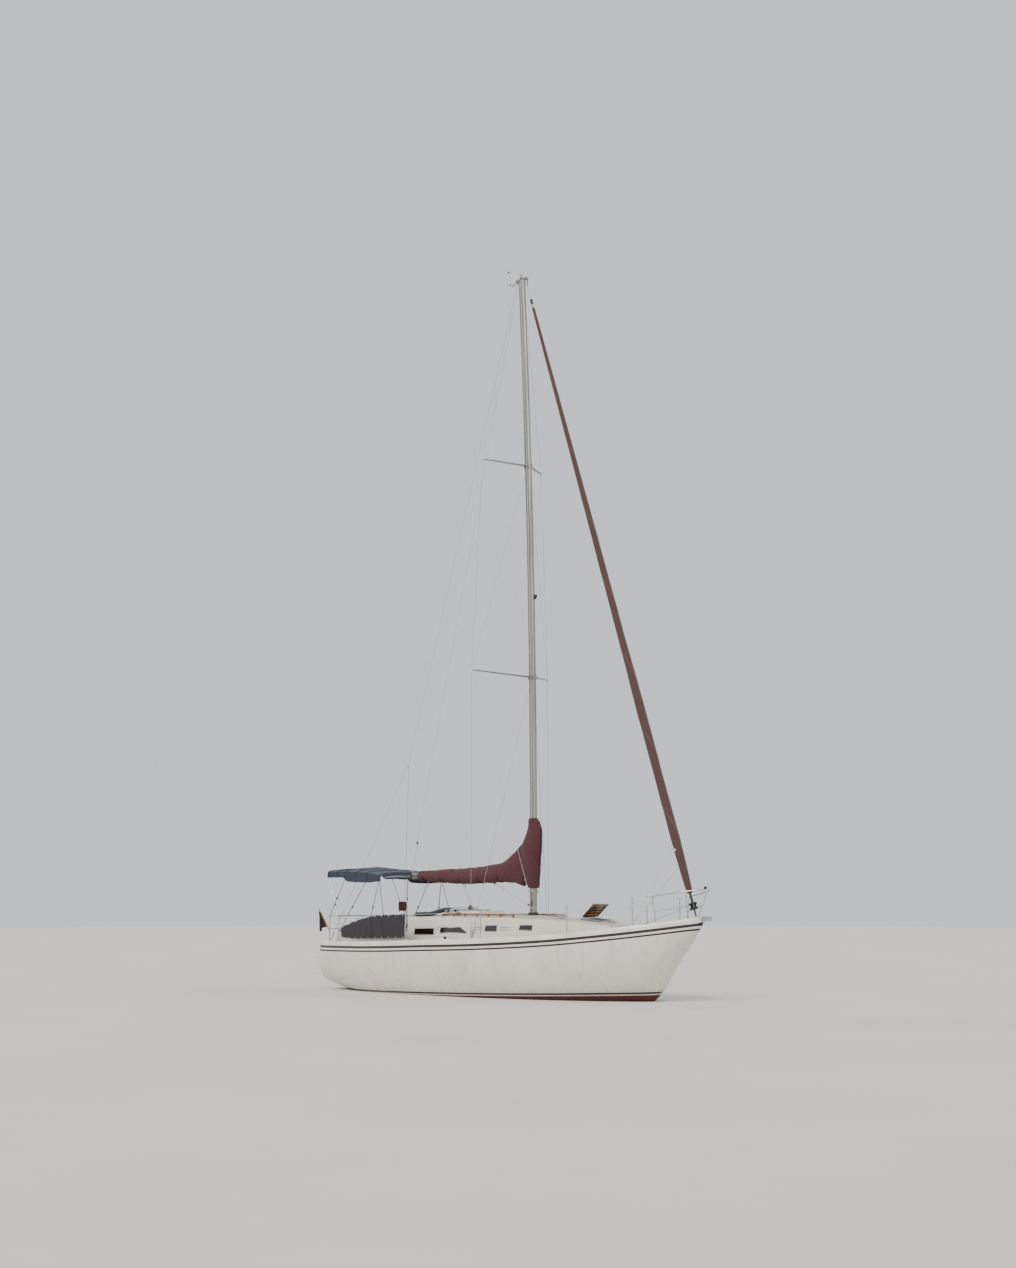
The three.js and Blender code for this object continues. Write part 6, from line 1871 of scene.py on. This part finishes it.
def build_sprayhood():
    """The hood folded down on the coachroof, bound by straps."""
    roll = Shape()
    path = []
    for x, y, z in mirrored([(x, y, roof_z(x, y) + 0.050 + (0.058 if y < 0.6 else 0.0)) for x, y in HOOD]):
        path.append((x, y, z))
    curve = catmull(path, 14)
    rings = []
    total = len(curve)
    for i, p in enumerate(curve):
        before, after = curve[max(i - 1, 0)], curve[min(i + 1, total - 1)]
        along = (after - before).normalized()
        level = Vector((0, 0, 1))
        across = along.cross(level).normalized()
        level = across.cross(along)
        end = min(i, total - 1 - i) / 5
        swell = 0.050 * min(1.0, 0.45 + 0.55 * end)
        strap = 1 - 0.16 * math.exp(-(((i % 23) - 11) / 1.6) ** 2)
        ring = []
        for k in range(26):
            angle = 2 * math.pi * k / 26
            lump = 1 + 0.10 * noise.noise(Vector((i * 0.21, math.cos(angle) * 1.4, math.sin(angle) * 1.4)))
            crease = 0.05 * math.sin(5 * angle + i * 0.35)
            flat = 0.92 if math.sin(angle) < 0 else 1.0
            reach = swell * strap * (lump + crease)
            beside = p + across * (reach * 1.05 * math.cos(angle))
            ring.append(beside + level * (reach * flat * math.sin(angle)))
        rings.append(ring)
    roll.loft(rings)
    piece = roll.make("sprayhood_roll", [navy_canvas()], stands_for=("folded_sprayhood",),
                      smooth=70)
    bows = Shape()
    for side in (1, -1):
        bows.lathe([(0.026, 0), (0.026, 0.008), (0.014, 0.014), (0.014, 0.030)],
                   (-1.955, side * 0.93, roof_z(-1.955, 0.93) - 0.002), (0, 0, 1))
        bows.pipe([(-1.955, side * 0.93, roof_z(-1.955, 0.93) + 0.02), (-1.86, side * 0.928, 1.735)],
                  0.0125, 0, sides=12)
    for i in (11, 34, 57, 80, 103):
        if i >= total - 2:
            continue
        p, q = curve[i], curve[i + 1]
        along = (q - p).normalized()
        bows.pipe([p - along * 0.014, p + along * 0.014], 0.0475, 1, sides=20)
    bows.make("sprayhood_straps", [polished_stainless(), charcoal_canvas()])


def build_ensign():
    """A flag hanging limp from its staff, in soft vertical folds."""
    low, high = Vector((-4.637, -1.2114, 1.378)), Vector((-4.850, -1.330, 1.830))
    staff = Shape()
    staff.pipe([low, low.lerp(high, 0.5), high], [0.0115, 0.0105, 0.0085], 0, sides=14)
    staff.lathe([(0.006, 0), (0.015, 0.006), (0.015, 0.014), (0.004, 0.022)], high, high - low, 0, sides=16)
    staff.pipe([low + Vector((0, 0, -0.03)), low + (high - low) * 0.09], 0.016, 1, sides=16)
    staff.make("flag_staff", [oiled_teak(), polished_stainless()], stands_for=("ensign_staff",))
    flag = Shape()
    columns, rows = 60, 26
    width, drop = 0.60, 0.40
    grid = []
    fold = 0.090
    for c in range(columns + 1):
        run = width * c / columns
        leg = int(run / fold)
        share = run / fold - leg
        swing = share if leg % 2 == 0 else 1 - share
        column = []
        for r in range(rows + 1):
            v = r / rows
            hoist = high.lerp(low, 0.06 + 0.80 * v)
            loose = min(run / 0.12, 1.0)
            out = Vector((-0.62, -0.78, 0)) * (0.012 + 0.062 * swing * (0.75 + 0.25 * v))
            side = Vector((0.78, -0.62, 0)) * (0.011 * (leg - 3) + 0.012 * math.sin(c * 0.8 + v * 2)) * loose
            sag = -0.020 * loose - 0.06 * (run / width)
            spot = hoist.lerp(Vector((-4.79, -1.30, high.z - 0.03 - drop * v)), loose * 0.85)
            column.append(spot + out + side + Vector((0, 0, sag)))
        grid.append(column)
    flag.loft(grid, closed=False, caps=False)
    piece = flag.make("limp_ensign", [woven_canvas("bunting_dark", bpy.context.scene.yacht_look.flag,
                                                   linear("#3a3238"), 3.0)], smooth=80)


# Deck edge


def post(shape, x, y, z):
    """A lifeline stanchion in its deck socket."""
    shape.lathe([(0.038, -0.004), (0.038, 0.005), (0.020, 0.010), (0.018, 0.070), (0.0165, 0.074)], (x, y, z))
    shape.pipe([(x, y, z + 0.01), (x, y, z + STANCHION_HIGH - 0.006)], 0.0125, 0, sides=16)
    shape.lathe([(0.0125, 0), (0.015, 0.004), (0.013, 0.013), (0.0, 0.016)],
                (x, y, z + STANCHION_HIGH - 0.008))


def build_deck_edge():
    """Stanchions with their guard wires, pulpit, pushpit and the roller at the stem."""
    for side, hand in ((1, "port"), (-1, "starboard")):
        guard = Shape()
        for x, y in STANCHIONS:
            post(guard, x, side * y, hull_chords(x)[1] + 0.040)
        for rise in (STANCHION_HIGH - 0.012, 0.300):
            path = []
            for x, y in (WIRE_ENDS[0], *STANCHIONS, WIRE_ENDS[1]):
                path.append(Vector((x, side * y, hull_chords(x)[1] + 0.040 + rise)))
            guard.pipe(path, 0.0032, 1, sides=8)
            for low, high in ((path[0], path[1]), (path[-1], path[-2])):
                along = (high - low).normalized()
                guard.lathe([(0.004, 0), (0.007, 0.005), (0.007, 0.09), (0.004, 0.095), (0.004, 0.14)],
                            low, along, 0, sides=12)
        guard.make(f"guard_wires_{hand}", [polished_stainless(), white_nylon()],
                   stands_for=(f"lifelines_{hand}",))
    bow = Shape()
    bow.pipe(catmull(mirrored(PULPIT), 10), 0.0125, 0, sides=14)
    for side in (1, -1):
        for high, low in (((4.69, 0.590, 2.080), (4.70, 0.470, 1.49)),
                          ((5.35, 0.340, 2.180), (5.24, 0.130, 1.572))):
            bow.pipe([(high[0], side * high[1], high[2]), (low[0], side * low[1], low[2])], 0.0125,
                     0, sides=14)
            bow.lathe([(0.034, -0.006), (0.034, 0.005), (0.017, 0.012), (0.017, 0.04)],
                      (low[0], side * low[1], deck_z(low[0], low[1])))
        bow.pipe([(4.695, side * 0.531, 1.790), (5.30, side * 0.245, 1.900)], 0.0125, 0, sides=14)
    bow.slab((5.545, -0.022, 2.215), (5.600, 0.022, 2.222), 0)
    bow.lathe([(0.026, 0), (0.028, 0.006), (0.028, 0.045), (0.022, 0.052), (0.0, 0.054)],
              (5.575, 0, 2.223), finish=1)
    bow.make("pulpit_rails", [polished_stainless(), black_rubber()], stands_for=("pulpit",))
    stern = Shape()
    for rise, radius in ((0.620, 0.0125), (0.320, 0.011)):
        stern.pipe(catmull(mirrored([(x, y, 1.072 + rise) for x, y in PUSHPIT]), 10), radius, 0, sides=14)
    for side in (1, -1):
        for i in (0, 2, 4):
            x, y = PUSHPIT[i]
            stern.pipe([(x, side * y, 1.070), (x, side * y, 1.072 + 0.620)], 0.0125, 0, sides=14)
            stern.lathe([(0.034, -0.006), (0.034, 0.005), (0.017, 0.012), (0.017, 0.04)],
                        (x, side * y, deck_z(x, y)))
    stern.make("pushpit_rails", [polished_stainless()], stands_for=("pushpit",))
    eased_copy(("stem_fitting",), "stemhead_roller", polished_stainless(), 0.003)


# Floor, light and camera


def build_stage():
    """The floor at the waterline, the lights and the camera."""
    mesh = bpy.data.meshes.new("floor")
    size = 150
    mesh.from_pydata([(-size, -size, 0), (size, -size, 0), (size, size, 0), (-size, size, 0)], [],
                     [(0, 1, 2, 3)])
    floor = bpy.data.objects.new("floor", mesh)
    bpy.context.collection.objects.link(floor)
    mesh.materials.append(
        weathered("floor_pale", "#d9d6d1", "#d2cfc9", 4000, 400, 0.7, 0.0)
    )
    world = bpy.data.worlds.new("studio")
    world.use_nodes = True
    background = world.node_tree.nodes["Background"]
    background.inputs[0].default_value = (0.86, 0.88, 0.92, 1)
    background.inputs[1].default_value = 0.95
    bpy.context.scene.world = world
    for name, turn, power, tint in (
        ("key", (50, 0, 20), 2.5, (1.0, 0.95, 0.88)), ("fill", (60, 0, 150), 0.7, (0.9, 0.94, 1.0)),
    ):
        light = bpy.data.lights.new(name, "SUN")
        light.energy = power
        light.angle = 0.5
        light.color = tint
        lamp = bpy.data.objects.new(name, light)
        lamp.rotation_euler = [math.radians(a) for a in turn]
        bpy.context.collection.objects.link(lamp)
    data = bpy.data.cameras.new("camera")
    data.sensor_fit = "VERTICAL"
    data.sensor_height = 36
    data.lens = CAMERA["lens"]
    data.clip_end = 500
    camera = bpy.data.objects.new("camera", data)
    camera.location = CAMERA["place"]
    camera.rotation_euler = [math.radians(a) for a in CAMERA["turn"]]
    bpy.context.collection.objects.link(camera)
    bpy.context.scene.camera = camera


# Settings, operators and the panel


def colour(name, told, default):
    """A colour property of the panel."""
    return bpy.props.FloatVectorProperty(
        name=name, description=told, subtype="COLOR", size=3, min=0, max=1, default=linear(default)
    )


class YachtLook(bpy.types.PropertyGroup):
    """Colours and sizes that suit another boat of this type."""

    topsides: colour("Topsides", "Gelcoat of the hull's sides", "#e9e6df")
    lines: colour("Painted lines", "Sheer lines and boot stripe", "#2b2023")
    antifouling: colour("Antifouling", "Paint below the waterline", "#5a241b")
    deck: colour("Deck", "Smooth gelcoat of deck and coachroof", "#e3dfd6")
    non_slip: colour("Non-slip", "Moulded non-slip panels", "#bdb7aa")
    cover: colour("Sail cover", "Canvas over the mainsail", "#421c21")
    bimini: colour("Bimini", "Canvas over the cockpit", "#242c38")
    cloths: colour("Weather cloths", "Canvas on the guard wires", "#1d1a1f")
    sunstrip: colour("Sunstrip", "Canvas strip that covers the furled headsail", "#3d2523")
    spars: colour("Spars", "Anodised mast and boom", "#9c9b98")
    flag: colour("Ensign", "Bunting of the plain ensign", "#2a1d22")
    wire_radius: bpy.props.FloatProperty(
        name="Wire radius", description="Radius of the standing rigging's wire", default=0.004, min=0.002,
        max=0.01, unit="LENGTH",
    )


class YACHT_OT_stage(bpy.types.Operator):
    """Floor at the waterline, soft light and the camera."""

    bl_idname = "yacht.stage"
    bl_label = "Stage"

    def execute(self, context):
        build_stage()
        return {"FINISHED"}


class YACHT_OT_hull(bpy.types.Operator):
    """Painted hull skin, toe rails and transom."""

    bl_idname = "yacht.hull"
    bl_label = "Hull"

    def execute(self, context):
        build_hull()
        build_rails()
        return {"FINISHED"}


class YACHT_OT_underwater(bpy.types.Operator):
    """Keel, rudder, propeller and shaft."""

    bl_idname = "yacht.underwater"
    bl_label = "Underwater gear"

    def execute(self, context):
        build_underwater()
        return {"FINISHED"}


class YACHT_OT_deck(bpy.types.Operator):
    """Deck moulding, portlights and fittings."""

    bl_idname = "yacht.deck"
    bl_label = "Deck"

    def execute(self, context):
        build_deck()
        return {"FINISHED"}


class YACHT_OT_hatches(bpy.types.Operator):
    """Forehatch, lockers and companionway."""

    bl_idname = "yacht.hatches"
    bl_label = "Hatches"

    def execute(self, context):
        build_hatches()
        return {"FINISHED"}


class YACHT_OT_cockpit(bpy.types.Operator):
    """Winches, seats, wheel and binnacle."""

    bl_idname = "yacht.cockpit"
    bl_label = "Cockpit"

    def execute(self, context):
        build_cockpit()
        return {"FINISHED"}


class YACHT_OT_mast(bpy.types.Operator):
    """Mast, masthead and spreaders."""

    bl_idname = "yacht.mast"
    bl_label = "Mast"

    def execute(self, context):
        build_mast()
        return {"FINISHED"}


class YACHT_OT_rigging(bpy.types.Operator):
    """Shrouds, stays, furler and lines."""

    bl_idname = "yacht.rigging"
    bl_label = "Rigging"

    def execute(self, context):
        build_rigging()
        return {"FINISHED"}


class YACHT_OT_boom(bpy.types.Operator):
    """Boom, topping lift, mainsheet and vang."""

    bl_idname = "yacht.boom"
    bl_label = "Boom"

    def execute(self, context):
        build_boom()
        return {"FINISHED"}


class YACHT_OT_sails(bpy.types.Operator):
    """Sail cover and furled headsail."""

    bl_idname = "yacht.sails"
    bl_label = "Sails"

    def execute(self, context):
        build_sail_cover()
        build_jib()
        return {"FINISHED"}


class YACHT_OT_canvas(bpy.types.Operator):
    """Bimini, weather cloths, sprayhood and flag."""

    bl_idname = "yacht.canvas"
    bl_label = "Canvas"

    def execute(self, context):
        build_bimini()
        build_weather_cloths()
        build_sprayhood()
        build_ensign()
        return {"FINISHED"}


class YACHT_OT_deck_edge(bpy.types.Operator):
    """Guard wires, pulpit and pushpit."""

    bl_idname = "yacht.deck_edge"
    bl_label = "Deck edge"

    def execute(self, context):
        build_deck_edge()
        return {"FINISHED"}


OPERATORS = [
    YACHT_OT_stage,
    YACHT_OT_hull,
    YACHT_OT_underwater,
    YACHT_OT_deck,
    YACHT_OT_hatches,
    YACHT_OT_cockpit,
    YACHT_OT_mast,
    YACHT_OT_rigging,
    YACHT_OT_boom,
    YACHT_OT_sails,
    YACHT_OT_canvas,
    YACHT_OT_deck_edge,
]


class YACHT_PT_pieces(bpy.types.Panel):
    """Lists the groups of pieces and the settings."""

    bl_label = "Sailing yacht"
    bl_space_type = "VIEW_3D"
    bl_region_type = "UI"
    bl_category = "Yacht"

    def draw(self, context):
        for made in OPERATORS:
            self.layout.operator(made.bl_idname)
        for key in YachtLook.__annotations__:
            self.layout.prop(context.scene.yacht_look, key)


CLASSES = [YachtLook, *OPERATORS, YACHT_PT_pieces]


def register():
    """Adds the operators, the panel and the yacht's properties."""
    for made in CLASSES:
        bpy.utils.register_class(made)
    bpy.types.Scene.yacht_look = bpy.props.PointerProperty(type=YachtLook)


def unregister():
    """Takes away what register adds."""
    del bpy.types.Scene.yacht_look
    for made in reversed(CLASSES):
        bpy.utils.unregister_class(made)


def main():
    """Builds every group in order."""
    register()
    for made in OPERATORS:
        getattr(bpy.ops.yacht, made.bl_idname.split(".")[1])()


if __name__ == "__main__":
    main()
